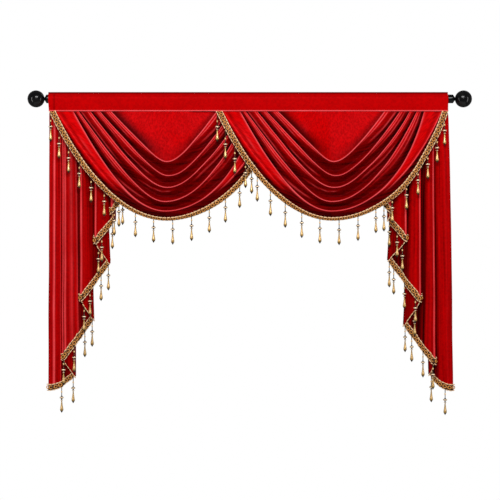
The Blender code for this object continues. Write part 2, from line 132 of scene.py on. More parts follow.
class NodeMaker:
    """Builds one material's node tree."""

    def __init__(self, name: str) -> None:
        """Starts a material with a Principled shader.

        Args:
            name: the material's name.
        """
        self.material = bpy.data.materials.new(name)
        self.material.use_nodes = True
        self.tree = self.material.node_tree
        self.shader = self.tree.nodes["Principled BSDF"]

    def add(
        self, kind: str, settings: dict | None = None, inputs: dict | None = None,
        output: int | str = 0,
    ) -> Value:
        """Adds a node.

        Args:
            kind: the node's type.
            settings: its own settings, set before its sockets.
            inputs: values or links for its sockets, by name or number.
            output: which output to return.

        Returns:
            The chosen output, wrapped.
        """
        node = self.tree.nodes.new(kind)
        for key, value in (settings or {}).items():
            if key == "stops":
                self._set_stops(node.color_ramp, value)
            else:
                setattr(node, key, value)
        for key, value in (inputs or {}).items():
            if isinstance(value, Value):
                self.tree.links.new(value.socket, node.inputs[key])
            else:
                node.inputs[key].default_value = value
        return Value(self, node.outputs[output])

    @staticmethod
    def _set_stops(ramp: bpy.types.ColorRamp, stops: list[tuple]) -> None:
        """Gives a colour ramp its stops.

        Args:
            ramp: the ramp.
            stops: (position, colour) pairs.
        """
        while len(ramp.elements) > 1:
            ramp.elements.remove(ramp.elements[-1])
        ramp.elements[0].position = stops[0][0]
        ramp.elements[0].color = (*stops[0][1], 1.0)
        for position, colour in stops[1:]:
            ramp.elements.new(position).color = (*colour, 1.0)

    def object_point(self) -> Value:
        """The point's place in the piece's own coordinates."""
        return self.add("ShaderNodeTexCoord", output="Object")

    def cloth_point(self) -> Value:
        """The point's place on the flat cloth, from its UV map, in metres."""
        return self.add("ShaderNodeUVMap", {"uv_map": "Cloth"})

    def noise(self, point: Value, scale: float, detail: float = 3.0) -> Value:
        """Noise from 0 to 1 at a scale in cells per metre."""
        return self.add(
            "ShaderNodeTexNoise", {}, {"Vector": point, "Scale": scale, "Detail": detail}, "Fac"
        )

    def attribute(self, name: str) -> Value:
        """A number stored on the piece's points."""
        return self.add("ShaderNodeAttribute", {"attribute_name": name}, output="Fac")

    def mix(self, factor: Value, low: tuple | Value, high: tuple | Value) -> Value:
        """A colour between two colours."""
        return self.add(
            "ShaderNodeMix",
            {"data_type": "RGBA", "clamp_factor": True},
            {0: factor, 6: self._colour(low), 7: self._colour(high)},
            2,
        )

    @staticmethod
    def _colour(value: tuple | Value) -> tuple | Value:
        """A colour with alpha, or the link as it is."""
        return value if isinstance(value, Value) else (*value, 1.0)

    def ramp(self, factor: Value, stops: list[tuple]) -> Value:
        """A colour from a ramp of (position, colour) stops."""
        return self.add("ShaderNodeValToRGB", {"stops": stops}, {"Fac": factor})

    def span(self, value: Value, low: float, high: float, start: float, stop: float) -> Value:
        """The value taken from the range low to high onto start to stop, and kept within it."""
        return self.add(
            "ShaderNodeMapRange",
            {"clamp": True},
            {"Value": value, "From Min": low, "From Max": high, "To Min": start, "To Max": stop},
        )

    def bump(self, height: Value, distance: float, strength: float) -> Value:
        """A bumped normal from a height between 0 and 1."""
        sockets = {"Height": height, "Distance": distance, "Strength": strength}
        return self.add("ShaderNodeBump", {}, sockets, "Normal")

    def finish(self, **sockets: "Value | float | tuple") -> bpy.types.Material:
        """Sets the shader's sockets, with _ for each space, and returns the material."""
        for key, value in sockets.items():
            socket = self.shader.inputs[key.replace("_", " ")]
            if isinstance(value, Value):
                self.tree.links.new(value.socket, socket)
            elif isinstance(value, tuple):
                socket.default_value = (*value, 1.0)
            else:
                socket.default_value = value
        return self.material


@dataclass(frozen=True)
class Velvet:
    """A short-piled red velvet with a silky lustre and a faint mottled figure.

    Attributes:
        name: the material's name.
        figure: how strongly the mottled figure shows.
        streaks: how strongly fine creases show along the folds, as painted light and shade.
        across_folds: how fast the fine creases vary along the cloth's width and its length.
        deep: the painted shade colour, between the folds.
        lit: the colour on open cloth, where no shade is painted.
        painted_highlight: the painted highlight colour, a light pink, along the crests of folds.
        patches: broad uneven patches per metre.
        cells: cells of the figure per metre.
        bends: bends in the cells' outlines per metre.
        tufts: tufts of the pile per metre.
        creases: fine creases per metre, where they vary fastest.
    """

    name: str
    figure: float = 1.0
    streaks: float = 0.20
    across_folds: tuple = (0.03, 1.0, 1.0)
    deep: tuple = (0.012, 0.0001, 0.0002)
    lit: tuple = (0.82, 0.0006, 0.0012)
    painted_highlight: tuple = (1.0, 0.120, 0.135)
    patches: float = 9.0
    cells: float = 125.0
    bends: float = 90.0
    tufts: float = 900.0
    creases: float = 110.0

    def material(self) -> bpy.types.Material:
        """Builds the velvet."""
        make = NodeMaker(self.name)
        flat = make.cloth_point()
        broad = make.noise(flat, self.patches)
        bend = make.add("ShaderNodeTexNoise", {}, {"Vector": flat, "Scale": self.bends}, "Color")
        bent = make.add(
            "ShaderNodeVectorMath",
            {"operation": "MULTIPLY_ADD"},
            {0: bend, 1: (0.010, 0.010, 0.0), 2: flat},
        )
        cell = make.add(
            "ShaderNodeTexVoronoi",
            {"feature": "SMOOTH_F1"},
            {"Vector": bent, "Scale": self.cells},
            "Distance",
        )
        figure = make.span(cell, 0.18, 0.62, 0.0, 1.0)
        pile = make.noise(flat, self.tufts, 2.0)
        crest, hollow = make.attribute("crest"), make.attribute("hollow")
        mottle = (figure - 0.5) * (0.42 * self.figure)
        tone = mottle + make.span(broad, 0.3, 0.7, -0.06, 0.06)
        # Painted shade: the shade mark darkens the colour towards the deep colour in the folds'
        # valleys and recesses.
        tone = (tone + (pile - 0.5) * 0.12) * (1.0 - hollow) + 1.0 - hollow * 0.97
        # Painted light and shade of fine creases: lighter and darker streaks along the folds.
        drawn = make.add(
            "ShaderNodeVectorMath", {"operation": "MULTIPLY"}, {0: flat, 1: self.across_folds}
        )
        crease = make.span(make.noise(drawn, self.creases, 4.0), 0.3, 0.7, -1.0, 1.0)
        tone = tone + crease * make.attribute("folded") * (self.streaks * 0.5)
        body = make.mix(tone * 0.86, self.deep, self.lit)
        # Painted highlight: along the crests of folds the colour is mixed towards a light pink.
        line = crest * make.span(broad, 0.3, 0.7, 0.55, 1.0)
        colour = make.mix(line, body, self.painted_highlight)
        rough = 0.44 - figure * (0.08 * self.figure) - crest * 0.10 + (pile - 0.5) * 0.08
        relief = figure * (0.35 * self.figure) + pile * 0.4
        return make.finish(
            Base_Color=colour,
            Roughness=rough,
            Normal=make.bump(relief, 0.0006, 0.30),
            Specular_IOR_Level=0.07,
            Specular_Tint=(1.0, 0.10, 0.14),
            Sheen_Weight=0.06,
            Sheen_Roughness=0.30,
            Sheen_Tint=(1.0, 0.06, 0.10),
        )


@dataclass(frozen=True)
class GimpThread:
    """Wound gold thread, as in gimp braid.

    Attributes:
        name: the material's name.
        dark: the painted shade colour in the thread's gaps.
        lit: the colour of its crowns, without the painted shade.
        wraps: thread wraps per metre.
        metal: how metallic the thread is.
    """

    name: str
    dark: tuple
    lit: tuple
    wraps: float = 700.0
    metal: float = 0.35

    def material(self) -> bpy.types.Material:
        """Builds the thread."""
        make = NodeMaker(self.name)
        point = make.object_point()
        wraps = make.add(
            "ShaderNodeTexWave",
            {"wave_type": "BANDS", "bands_direction": "DIAGONAL"},
            {"Vector": point, "Scale": self.wraps / WAVE, "Distortion": 1.5},
            "Fac",
        )
        broad = make.noise(point, 45.0)
        # Painted shade in the gaps between the thread's wraps, and the lighter colour on their
        # crowns.
        tone = wraps * 0.55 + make.span(broad, 0.3, 0.7, 0.0, 0.45)
        return make.finish(
            Base_Color=make.mix(tone, self.dark, self.lit),
            Roughness=0.52 - wraps * 0.12,
            Metallic=self.metal,
            Normal=make.bump(wraps, 0.0004, 0.5),
        )


@dataclass(frozen=True)
class BeadGold:
    """Lacquered champagne-gold beads on a thread, with a dark pointed tip.

    Attributes:
        name: the material's name.
        tip_start: how far down the drop its dark tip begins, in metres.
        length: the drop's length in metres.
    """

    name: str = "bead_gold"
    tip_start: float = 84.5 * MM
    length: float = 92 * MM

    def material(self) -> bpy.types.Material:
        """Builds the bead finish, which changes along the drop."""
        make = NodeMaker(self.name)
        share = make.attribute("below") * (1.0 / self.length)
        tip = self.tip_start / self.length
        thread, dark = (0.04, 0.022, 0.010), (0.02, 0.012, 0.004)
        gold, pale, bright = (0.46, 0.27, 0.06), (0.86, 0.55, 0.23), (1.0, 0.76, 0.50)
        beads = (
            (0.0, 0.10, thread), (0.115, 0.18, pale), (0.19, 0.29, thread),
            (0.30, 0.345, dark), (0.36, 0.395, bright), (0.41, 0.45, dark),
        )
        stops = [(place, colour) for start, stop, colour in beads for place in (start, stop)]
        stops += [(0.49, bright), (0.52, gold), (0.80, pale)]
        stops += [(tip - 0.03, gold), (tip + 0.01, dark)]
        colour = make.ramp(share, stops)
        point = make.object_point()
        grain = make.noise(point, 260.0)
        rough = make.span(grain, 0.3, 0.7, 0.30, 0.44)
        return make.finish(
            Base_Color=colour,
            Roughness=rough,
            Metallic=make.span(share, 0.10, 0.31, 0.15, 0.60),
            Normal=make.bump(grain, 0.0003, 0.25),
            Coat_Weight=0.35,
            Coat_Roughness=0.20,
        )


@dataclass(frozen=True)
class Lacquer:
    """Glossy black lacquer with a faint unevenness.

    Attributes:
        name: the material's name.
        colour: the lacquer's colour.
        worn: its colour where the lacquer has worn.
    """

    name: str = "black_lacquer"
    colour: tuple = (0.002, 0.002, 0.0025)
    worn: tuple = (0.010, 0.0095, 0.009)

    def material(self) -> bpy.types.Material:
        """Builds the lacquer."""
        make = NodeMaker(self.name)
        point = make.object_point()
        patches = make.noise(point, 38.0)
        grain = make.noise(point, 420.0)
        return make.finish(
            Base_Color=make.mix(make.span(patches, 0.5, 0.75, 0.0, 1.0), self.colour, self.worn),
            Roughness=make.span(grain, 0.3, 0.7, 0.14, 0.24),
            Normal=make.bump(grain, 0.0001, 0.06),
            Specular_IOR_Level=0.16,
            Coat_Weight=0.22,
            Coat_Roughness=0.06,
        )


# Mesh helpers.


def ease(value: np.ndarray | float) -> np.ndarray | float:
    """0 below 0, 1 above 1, and a smooth rise between."""
    value = np.clip(value, 0.0, 1.0)
    return value * value * (3 - 2 * value)


def rising(
    value: np.ndarray | float, start: np.ndarray | float, over: np.ndarray | float
) -> np.ndarray | float:
    """0 up to a start, 1 from so much further on, and a smooth rise between."""
    return ease((value - start) / over)


def bell(value: np.ndarray | float, middle: np.ndarray | float, width: float) -> np.ndarray | float:
    """1 at the middle, and a smooth fall on both sides of it."""
    return np.exp(-(((value - middle) / width) ** 2))


def between(
    low: np.ndarray | float, high: np.ndarray | float, share: np.ndarray | float
) -> np.ndarray | float:
    """The value at a share of the way from low to high."""
    return low + (high - low) * share


def curved(
    start: np.ndarray, leaving: np.ndarray, stop: np.ndarray, arriving: np.ndarray,
    share: np.ndarray | float,
) -> np.ndarray:
    """The value on a smooth curve between two values.

    Args:
        start: the value at share 0.
        leaving: the slope there.
        stop: the value at share 1.
        arriving: the slope there.
        share: the share of the way.

    Returns:
        The curve's value.
    """
    square, cube = share * share, share**3
    value = (2 * cube - 3 * square + 1) * start + (cube - 2 * square + share) * leaving
    return value + (3 * square - 2 * cube) * stop + (cube - square) * arriving


def unit(vectors: np.ndarray) -> np.ndarray:
    """Each vector at length 1."""
    return vectors / np.maximum(np.linalg.norm(vectors, axis=-1, keepdims=True), 1e-12)


def ripple(x: np.ndarray, z: np.ndarray, seed: float) -> np.ndarray:
    """A smooth uneven wave over points given in metres.

    Args:
        x: one of their coordinates.
        z: the other.
        seed: a number that shifts the wave.

    Returns:
        Values between about -1 and 1.
    """
    waves = ((31, 9, 0.3), (17, 23, 1.7), (47, 13, 2.9), (11, 37, 4.1))
    total = sum(np.sin(a * x + b * z + c * seed + c) for a, b, c in waves)
    return total / len(waves)


def resampled(line: np.ndarray, known: np.ndarray | range, places: np.ndarray) -> np.ndarray:
    """The points at other places of a line whose points are known at some."""
    return np.column_stack([np.interp(places, known, column) for column in line.T])


def lengths_along(line: np.ndarray) -> np.ndarray:
    """How far along a line of points each of them is."""
    steps = np.linalg.norm(np.diff(line, axis=0), axis=1)
    return np.concatenate([[0.0], np.cumsum(steps)])


def sheet_normals(grid: np.ndarray) -> np.ndarray:
    """The direction square to a grid of points, facing the viewer at the first of them."""
    normals = unit(np.cross(np.gradient(grid, axis=1), np.gradient(grid, axis=0)))
    return normals * -math.copysign(1.0, normals[0, 0, 1])


def new_piece(name: str, mesh: bpy.types.Mesh) -> bpy.types.Object:
    """Puts a mesh in the scene.

    Args:
        name: the piece's name.
        mesh: its mesh.

    Returns:
        The object.
    """
    piece = bpy.data.objects.new(name, mesh)
    bpy.context.scene.collection.objects.link(piece)
    return piece


def smooth_mesh(name: str, points: list, faces: list) -> bpy.types.Mesh:
    """Makes a mesh with smooth shading.

    Args:
        name: the mesh's name.
        points: its points.
        faces: its faces, by point.

    Returns:
        The mesh.
    """
    mesh = bpy.data.meshes.new(name)
    mesh.from_pydata(points, [], faces)
    mesh.shade_smooth()
    return mesh


def store(mesh: bpy.types.Mesh, word: str, values: np.ndarray | list[float]) -> None:
    """Stores a number for each point of a mesh."""
    layer = mesh.attributes.new(word, "FLOAT", "POINT")
    layer.data.foreach_set("value", np.asarray(values, dtype=np.float32).ravel())


def closed_sheet(
    name: str, grid: np.ndarray, thickness: float, finish: bpy.types.Material,
    marks: dict[str, np.ndarray] | None = None,
) -> bpy.types.Object:
    """A sheet of even thickness round a grid of points.

    Args:
        name: the piece's name.
        grid: rows of points, the sheet's middle surface.
        thickness: the sheet's thickness.
        finish: the sheet's material.
        marks: numbers from 0 to 1 for each point, by name, such as those for painted highlights on
            crests and for painted shade.

    Returns:
        The new object, its faces pointing outwards, with a UV map of the flat sheet in metres.
    """
    rows, columns = grid.shape[:2]
    offset = sheet_normals(grid) * thickness / 2
    points = np.concatenate([(grid + offset).reshape(-1, 3), (grid - offset).reshape(-1, 3)])
    index = np.arange(rows * columns).reshape(rows, columns)
    a, b, c, d = index[:-1, :-1], index[:-1, 1:], index[1:, 1:], index[1:, :-1]
    front = np.stack([a, b, c, d], axis=-1).reshape(-1, 4)
    back = front[:, ::-1] + rows * columns
    rim = np.concatenate([index[0, :-1], index[:-1, -1], index[-1, :0:-1], index[:0:-1, 0]])
    after = np.roll(rim, -1)
    edge = np.stack([after, rim, rim + rows * columns, after + rows * columns], axis=-1)
    faces = np.concatenate([front, back, edge])
    first = points[front[0]]
    if np.dot(np.cross(first[2] - first[0], first[3] - first[1]), offset[0, 0]) < 0:
        faces = faces[:, ::-1]
    mesh = smooth_mesh(name, points.tolist(), faces.tolist())
    flat = np.concatenate([flat_places(grid).reshape(-1, 2)] * 2)
    layer = mesh.uv_layers.new(name="Cloth")
    corners = np.zeros(len(mesh.loops), dtype=np.int32)
    mesh.loops.foreach_get("vertex_index", corners)
    layer.data.foreach_set("uv", flat[corners].astype(np.float32).ravel())
    for word, values in (marks or {}).items():
        store(mesh, word, np.concatenate([values.ravel()] * 2))
    mesh.materials.append(finish)
    return new_piece(name, mesh)


def flat_places(grid: np.ndarray) -> np.ndarray:
    """Each grid point's place on the flat cloth.

    Args:
        grid: rows of points on the hung cloth.

    Returns:
        Along the rows, at their mean length, and down each column, in metres.
    """
    along = np.linalg.norm(np.diff(grid, axis=1), axis=2).mean(axis=0)
    down = np.linalg.norm(np.diff(grid, axis=0), axis=2)
    u = np.concatenate([[0.0], np.cumsum(along)])
    v = np.concatenate([np.zeros((1, grid.shape[1])), np.cumsum(down, axis=0)])
    return np.stack([np.broadcast_to(u, grid.shape[:2]), -v], axis=-1)


def turned(
    name: str, profile: list[tuple[float, float]], sides: int, axis: Vector
) -> bpy.types.Mesh:
    """A mesh turned about a line through the origin.

    Args:
        name: the mesh's name.
        profile: (distance along the line, radius) pairs, from its start.
        sides: faces round the line.
        axis: the line's direction.

    Returns:
        A closed mesh with a float attribute, below, of the distance along the line.
    """
    across = axis.orthogonal().normalized()
    other = axis.cross(across)
    points, along = [tuple(axis * profile[0][0])], [profile[0][0]]
    for distance, radius in profile:
        for side in range(sides):
            angle = 2 * math.pi * side / sides
            spoke = across * (radius * math.cos(angle)) + other * (radius * math.sin(angle))
            points.append(tuple(axis * distance + spoke))
            along.append(distance)
    points.append(tuple(axis * profile[-1][0]))
    along.append(profile[-1][0])
    last = len(points) - 1
    faces = []
    for side in range(sides):
        after = (side + 1) % sides
        faces.append((0, 1 + after, 1 + side))
        for ring in range(len(profile) - 1):
            base = 1 + ring * sides
            faces.append((base + side, base + after, base + sides + after, base + sides + side))
        faces.append((last, last - sides + side, last - sides + after))
    mesh = smooth_mesh(name, points, faces)
    store(mesh, "below", along)
    return mesh


# Geometry Nodes for what repeats.


class RowTree:
    """Geometry Nodes that set copies of one small shape along a path or on points."""

    def __init__(self, name: str) -> None:
        """Starts the tree with its geometry sockets.

        Args:
            name: the tree's name.
        """
        self.tree = bpy.data.node_groups.new(name, "GeometryNodeTree")
        self.sockets: dict[str, str] = {}
        self._socket("Geometry", "NodeSocketGeometry")
        self._socket("Shape", "NodeSocketObject")
        self._socket("Finish", "NodeSocketMaterial")
        self.tree.interface.new_socket(
            "Geometry", in_out="OUTPUT", socket_type="NodeSocketGeometry"
        )
        self.inputs = self.tree.nodes.new("NodeGroupInput")
        self.output = self.tree.nodes.new("NodeGroupOutput")

    def _socket(self, name: str, kind: str) -> None:
        """Adds a named input."""
        item = self.tree.interface.new_socket(name, in_out="INPUT", socket_type=kind)
        self.sockets[name] = item.identifier

    def _node(self, kind: str, links: dict | None = None, **settings: object) -> bpy.types.Node:
        """Adds a node.

        Args:
            kind: the node's type.
            links: values or links for its sockets, by name or number.
            settings: its own settings, set first.

        Returns:
            The node.
        """
        node = self.tree.nodes.new(kind)
        for key, value in settings.items():
            setattr(node, key, value)
        for key, value in (links or {}).items():
            if isinstance(value, bpy.types.NodeSocket):
                self.tree.links.new(value, node.inputs[key])
            else:
                node.inputs[key].default_value = value
        return node

    def _attribute(self, name: str, kind: str = "FLOAT") -> bpy.types.NodeSocket:
        """A value stored on the points."""
        node = self._node("GeometryNodeInputNamedAttribute", {"Name": name}, data_type=kind)
        return node.outputs["Attribute"]

    def _math(self, operation: str, left: object, right: object) -> bpy.types.NodeSocket:
        """The result of one Math node."""
        return self._node("ShaderNodeMath", {0: left, 1: right}, operation=operation).outputs[0]

    def _copies(
        self, points: bpy.types.NodeSocket, turn: bpy.types.NodeSocket
    ) -> bpy.types.NodeSocket:
        """Sets copies of the small shape on points.

        Args:
            points: the points.
            turn: each copy's rotation.

        Returns:
            The copies, as real geometry.
        """
        shape = self._node("GeometryNodeObjectInfo", {"Object": self.inputs.outputs["Shape"]})
        copies = self._node(
            "GeometryNodeInstanceOnPoints",
            {"Points": points, "Instance": shape.outputs["Geometry"], "Rotation": turn},
        )
        real = self._node("GeometryNodeRealizeInstances", {"Geometry": copies.outputs[0]})
        return real.outputs[0]

    def _end(self, geometry: bpy.types.NodeSocket) -> None:
        """Gives the geometry its finish and ends the tree.

        Args:
            geometry: the geometry.
        """
        finish = self.inputs.outputs["Finish"]
        dressed = self._node(
            "GeometryNodeSetMaterial", {"Geometry": geometry, "Material": finish}
        )
        self.tree.links.new(dressed.outputs[0], self.output.inputs[0])

    def along_path(self) -> "RowTree":
        """Sets copies every Pitch along a path, their X along it and their Z on its out direction.

        Returns:
            This tree, finished.
        """
        self._socket("Pitch", "NodeSocketFloat")
        curve = self._node("GeometryNodeMeshToCurve", {"Mesh": self.inputs.outputs["Geometry"]})
        spaced = self._node(
            "GeometryNodeResampleCurve",
            {"Curve": curve.outputs[0], "Length": self.inputs.outputs["Pitch"]},
            mode="LENGTH",
        )
        facing = self._node(
            "FunctionNodeAlignRotationToVector",
            {"Vector": self._attribute("out", "FLOAT_VECTOR")},
            axis="Z",
        )
        tangent = self._node("GeometryNodeInputTangent")
        turned_on = self._node(
            "FunctionNodeAlignRotationToVector",
            {"Rotation": facing.outputs[0], "Vector": tangent.outputs[0]},
            axis="X", pivot_axis="Z",
        )
        self._end(self._copies(spaced.outputs[0], turned_on.outputs[0]))
        return self

    def hanging(self) -> "RowTree":
        """Hangs copies from points, each with its top drawn up by the point's string, and leaning
        forward by the point's lean, fully so from Reach down.

        Returns:
            This tree, finished.
        """
        self._socket("Reach", "NodeSocketFloat")
        euler = self._node("ShaderNodeCombineXYZ", {"Z": self._attribute("turn")})
        spin = self._node("FunctionNodeEulerToRotation", {"Euler": euler.outputs[0]})
        copies = self._copies(self.inputs.outputs["Geometry"], spin.outputs[0])
        below = self._attribute("below")
        share = self._node(
            "ShaderNodeMapRange",
            {"Value": below, "From Max": self.inputs.outputs["Reach"]},
            interpolation_type="SMOOTHSTEP",
        )
        forward = self._math("MULTIPLY", share.outputs[0], self._attribute("lean"))
        back = self._math("MULTIPLY", forward, -1.0)
        is_top = self._math("LESS_THAN", below, DROP_TOP)
        up = self._math("MULTIPLY", is_top, self._attribute("string"))
        shift = self._node("ShaderNodeCombineXYZ", {"Y": back, "Z": up})
        moved = self._node(
            "GeometryNodeSetPosition", {"Geometry": copies, "Offset": shift.outputs[0]}
        )
        self._end(moved.outputs[0])
        return self

    def make(self, name: str, base: bpy.types.Mesh, **values: object) -> bpy.types.Object:
        """Runs the tree on a mesh and keeps the result as a plain piece.

        Args:
            name: the new piece's name.
            base: the path or points.
            values: the tree's named inputs.

        Returns:
            The new object, with a plain mesh and no modifier.
        """
        holder = new_piece(name + "_row", base)
        modifier = holder.modifiers.new("row", "NODES")
        modifier.node_group = self.tree
        for key, value in values.items():
            modifier[self.sockets[key]] = value
        graph = bpy.context.evaluated_depsgraph_get()
        mesh = bpy.data.meshes.new_from_object(holder.evaluated_get(graph), depsgraph=graph)
        holder.modifiers.clear()
        bpy.data.objects.remove(holder)
        mesh.name = name
        return new_piece(name, mesh)


def path_mesh(name: str, points: np.ndarray, out: np.ndarray) -> bpy.types.Mesh:
    """Makes a line of edges.

    Args:
        name: the mesh's name.
        points: the line's points.
        out: its outward directions.

    Returns:
        The mesh, with a vector attribute, out.
    """
    mesh = bpy.data.meshes.new(name)
    mesh.from_pydata(points.tolist(), [(k, k + 1) for k in range(len(points) - 1)], [])
    store = mesh.attributes.new("out", "FLOAT_VECTOR", "POINT")
    store.data.foreach_set("vector", out.astype(np.float32).ravel())
    return mesh


# The cloth.


@dataclass(frozen=True)
class FoldLine:
    """One line of a swag, in millimetres from its middle and the pocket's lower edge.

    It runs in a curve from the pocket, left of the swag's middle, down to its lowest point and up
    to the pocket on the right.
    """

    left: float
    right: float
    shift: float
    drop: float
    forward: float
    round_left: float
    round_right: float
    swell_left: float
    swell_right: float

    def place(self, across: np.ndarray) -> tuple[np.ndarray, np.ndarray]:
        """Where the line is.

        Args:
            across: -1 at the line's left end to 1 at its right end.

        Returns:
            x and z in metres from the swag's middle and the seam.
        """
        share = np.abs(across)
        reach = np.where(across < 0, self.left + self.shift, self.right - self.shift)
        bend = np.where(across < 0, self.round_left, self.round_right)
        swell = np.where(across < 0, self.swell_left, self.swell_right)
        climbed = (np.hypot(share, bend) - bend) / (np.hypot(1, bend) - bend)
        climbed = (1 - swell) * climbed + swell * share**6
        return (self.shift + across * reach) * MM, -self.drop * (1 - climbed) * MM


@dataclass(frozen=True)
class Crease:
    """A small extra ridge on a swag.

    Attributes:
        line: the fold line above it.
        share_start: its share of the way to the next line where it starts.
        share_stop: the same where it stops.
        start: where it starts across the swag, from -1 to 1.
        stop: where it stops.
        height: how far it stands out in millimetres.
        width: half its width, as a share of the way between the lines.
        fade: how gradually it starts and stops.
    """

    line: int
    share_start: float
    share_stop: float
    start: float
    stop: float
    height: float
    width: float
    fade: float

    def strength(self, line: int, share: float, across: np.ndarray) -> np.ndarray:
        """How much of the crease there is at places on the swag.

        Args:
            line: the fold line above the places.
            share: their share of the way to the next line.
            across: the places across the swag.

        Returns:
            One number from 0 to 1 for each place.
        """
        if line != self.line:
            return np.zeros_like(across)
        along = np.clip((across - self.start) / (self.stop - self.start), 0.0, 1.0)
        middle = between(self.share_start, self.share_stop, along)
        ending = rising(-across, -self.stop, self.fade)
        if self.start <= -1:
            inside = ending
        elif self.stop >= 1:
            inside = rising(across, self.start, self.fade)
        else:
            inside = rising(across, self.start - 0.02, self.fade) * ending
        return inside * bell(share, middle, self.width)


SWAG_LINES = (
    FoldLine(150, 145, 11, 0, 0, 0.18, 0.38, 0.00, 0.00),
    FoldLine(202, 198, 11, 190, 26, 0.18, 0.38, 0.00, 0.00),
    FoldLine(244, 256, 17, 243, 32, 0.20, 0.50, 0.00, 0.00),
    FoldLine(279, 292, 14, 287, 36, 0.35, 0.42, 0.00, 0.10),
    FoldLine(323, 319, 6, 340, 39, 0.35, 2.00, 0.00, 0.00),
    FoldLine(342, 346, 6, 375, 40, 1.00, 3.00, 0.00, 0.30),
    FoldLine(402, 409, 5, 384, 38, 0.80, 3.00, 0.00, 0.10),
    FoldLine(430, 433, 9, 408, 18, 3.00, 3.00, 0.07, 0.32),
)
# How far forward the valley under each line lies, in millimetres, and the line that the last,
# broad fold starts from.
SWAG_VALLEYS = (0, 3, 5, 7, 9, 22)
LAST_FOLD = 5
SWAG_CREASES = (
    Crease(1, 0.37, 0.55, -1.00, -0.45, 4.0, 0.07, 0.25),
    Crease(1, 0.60, 0.72, 0.45, 1.00, 3.0, 0.08, 0.25),
    Crease(2, 0.31, 0.55, -1.00, -0.50, 3.5, 0.07, 0.25),
    Crease(2, 0.62, 0.80, -0.75, -0.10, 3.0, 0.06, 0.20),
    Crease(3, 0.17, 0.45, -1.00, -0.55, 3.0, 0.05, 0.25),
    Crease(3, 0.73, 0.80, -1.00, -0.40, 4.0, 0.07, 0.25),
    Crease(3, 0.72, 0.40, -0.40, 0.15, 1.6, 0.06, 0.15),
    Crease(3, 0.55, 0.65, 0.25, 0.90, 2.5, 0.08, 0.20),
    Crease(4, 0.90, 0.62, -0.62, -0.10, 3.0, 0.09, 0.20),
    Crease(5, 0.62, 0.45, -0.95, -0.40, 2.5, 0.09, 0.20),
    Crease(5, 0.40, 0.25, -0.75, -0.35, 2.0, 0.06, 0.20),
    Crease(4, 0.30, 0.48, -1.00, -0.35, 2.0, 0.05, 0.25),
    Crease(2, 0.40, 0.50, 0.35, 1.00, 2.0, 0.05, 0.25),
    Crease(4, 0.42, 0.48, 0.30, 1.00, 2.0, 0.05, 0.25),
)
# A fold in section, from one crest to the next. For the swag's middle and then for its sides: the
# share of the way down, and how far the cloth stands out between the valley's depth, 0, and the
# crests', 1. Then how far it is on a crest, which sets a painted highlight, and how much shade is
# painted on it, again for the middle and the sides.
FOLD_SECTION = (
    (0.000, 1.00, 0.000, 1.00, 1.00, 0.20, 1.00, 0.10),
    (0.012, 0.97, 0.030, 0.985, 0.65, 0.40, 0.35, 0.20),
    (0.025, 0.93, 0.080, 0.950, 0.22, 0.62, 0.00, 0.32),
    (0.040, 0.88, 0.150, 0.955, 0.00, 0.70, 0.00, 0.30),
    (0.060, 0.81, 0.205, 0.970, 0.00, 0.73, 0.75, 0.10),
    (0.090, 0.72, 0.245, 0.90, 0.00, 0.75, 0.05, 0.40),
    (0.140, 0.60, 0.330, 0.78, 0.00, 0.79, 0.00, 0.50),
    (0.210, 0.44, 0.420, 0.60, 0.00, 0.83, 0.00, 0.62),
    (0.300, 0.27, 0.530, 0.41, 0.00, 0.88, 0.00, 0.74),
    (0.400, 0.12, 0.640, 0.25, 0.00, 0.91, 0.00, 0.84),
    (0.500, 0.03, 0.740, 0.13, 0.00, 0.93, 0.00, 0.93),
    (0.600, 0.00, 0.820, 0.05, 0.00, 0.93, 0.00, 0.98),
    (0.700, 0.06, 0.885, 0.01, 0.00, 0.90, 0.00, 1.00),
    (0.790, 0.20, 0.925, 0.06, 0.00, 0.86, 0.00, 1.00),
    (0.870, 0.42, 0.945, 0.22, 0.00, 0.80, 0.00, 1.00),
    (0.930, 0.66, 0.958, 0.48, 0.00, 0.74, 0.00, 0.95),
    (0.970, 0.86, 0.975, 0.78, 0.15, 0.60, 0.35, 0.60),
    (1.000, 1.00, 1.000, 1.00, 1.00, 0.20, 1.00, 0.10),
)
# How much shade is painted on the cloth above the first fold as it nears the fold, at places
# across the swag, and how far that painted shade reaches, in millimetres.
SHADE_ACROSS = (-1.0, -0.4, -0.15, 0.15, 0.5, 1.0)
SHADE_STRENGTH = (0.95, 0.93, 0.52, 0.52, 0.72, 0.70)
SHADE_REACH = (34, 44, 62, 56, 30, 20)


# The rows' shares of the way to the next line: above the first fold, in the last fold, and from
# there to the lower edge.
OPEN_SHARES = (*np.linspace(0, 0.92, 26), 0.94, 0.96, 0.975, 0.985, 0.993)
LAST_FOLD_SHARES = (0, 0.03, 0.07, 0.15, 0.3, 0.45, 0.6, 0.72, 0.82, 0.9, 0.95, 0.98)
EDGE_SHARES = (0, 0.02, 0.05, 0.09, 0.14, 0.2, 0.3, 0.4, 0.5, 0.6, 0.7, 0.8, 0.9, 1.0)


def smooth_section(count: int) -> np.ndarray:
    """The fold's section at evenly spaced places, smoothly between its points.

    Args:
        count: how many places.

    Returns:
        One row like those of FOLD_SECTION for each place.
    """
    points = np.array(FOLD_SECTION)
    slopes = np.gradient(points, axis=0)
    places = np.linspace(0, len(points) - 1, count)
    index = np.minimum(places.astype(int), len(points) - 2)
    share = (places - index)[:, None]
    return curved(points[index], slopes[index], points[index + 1], slopes[index + 1], share)


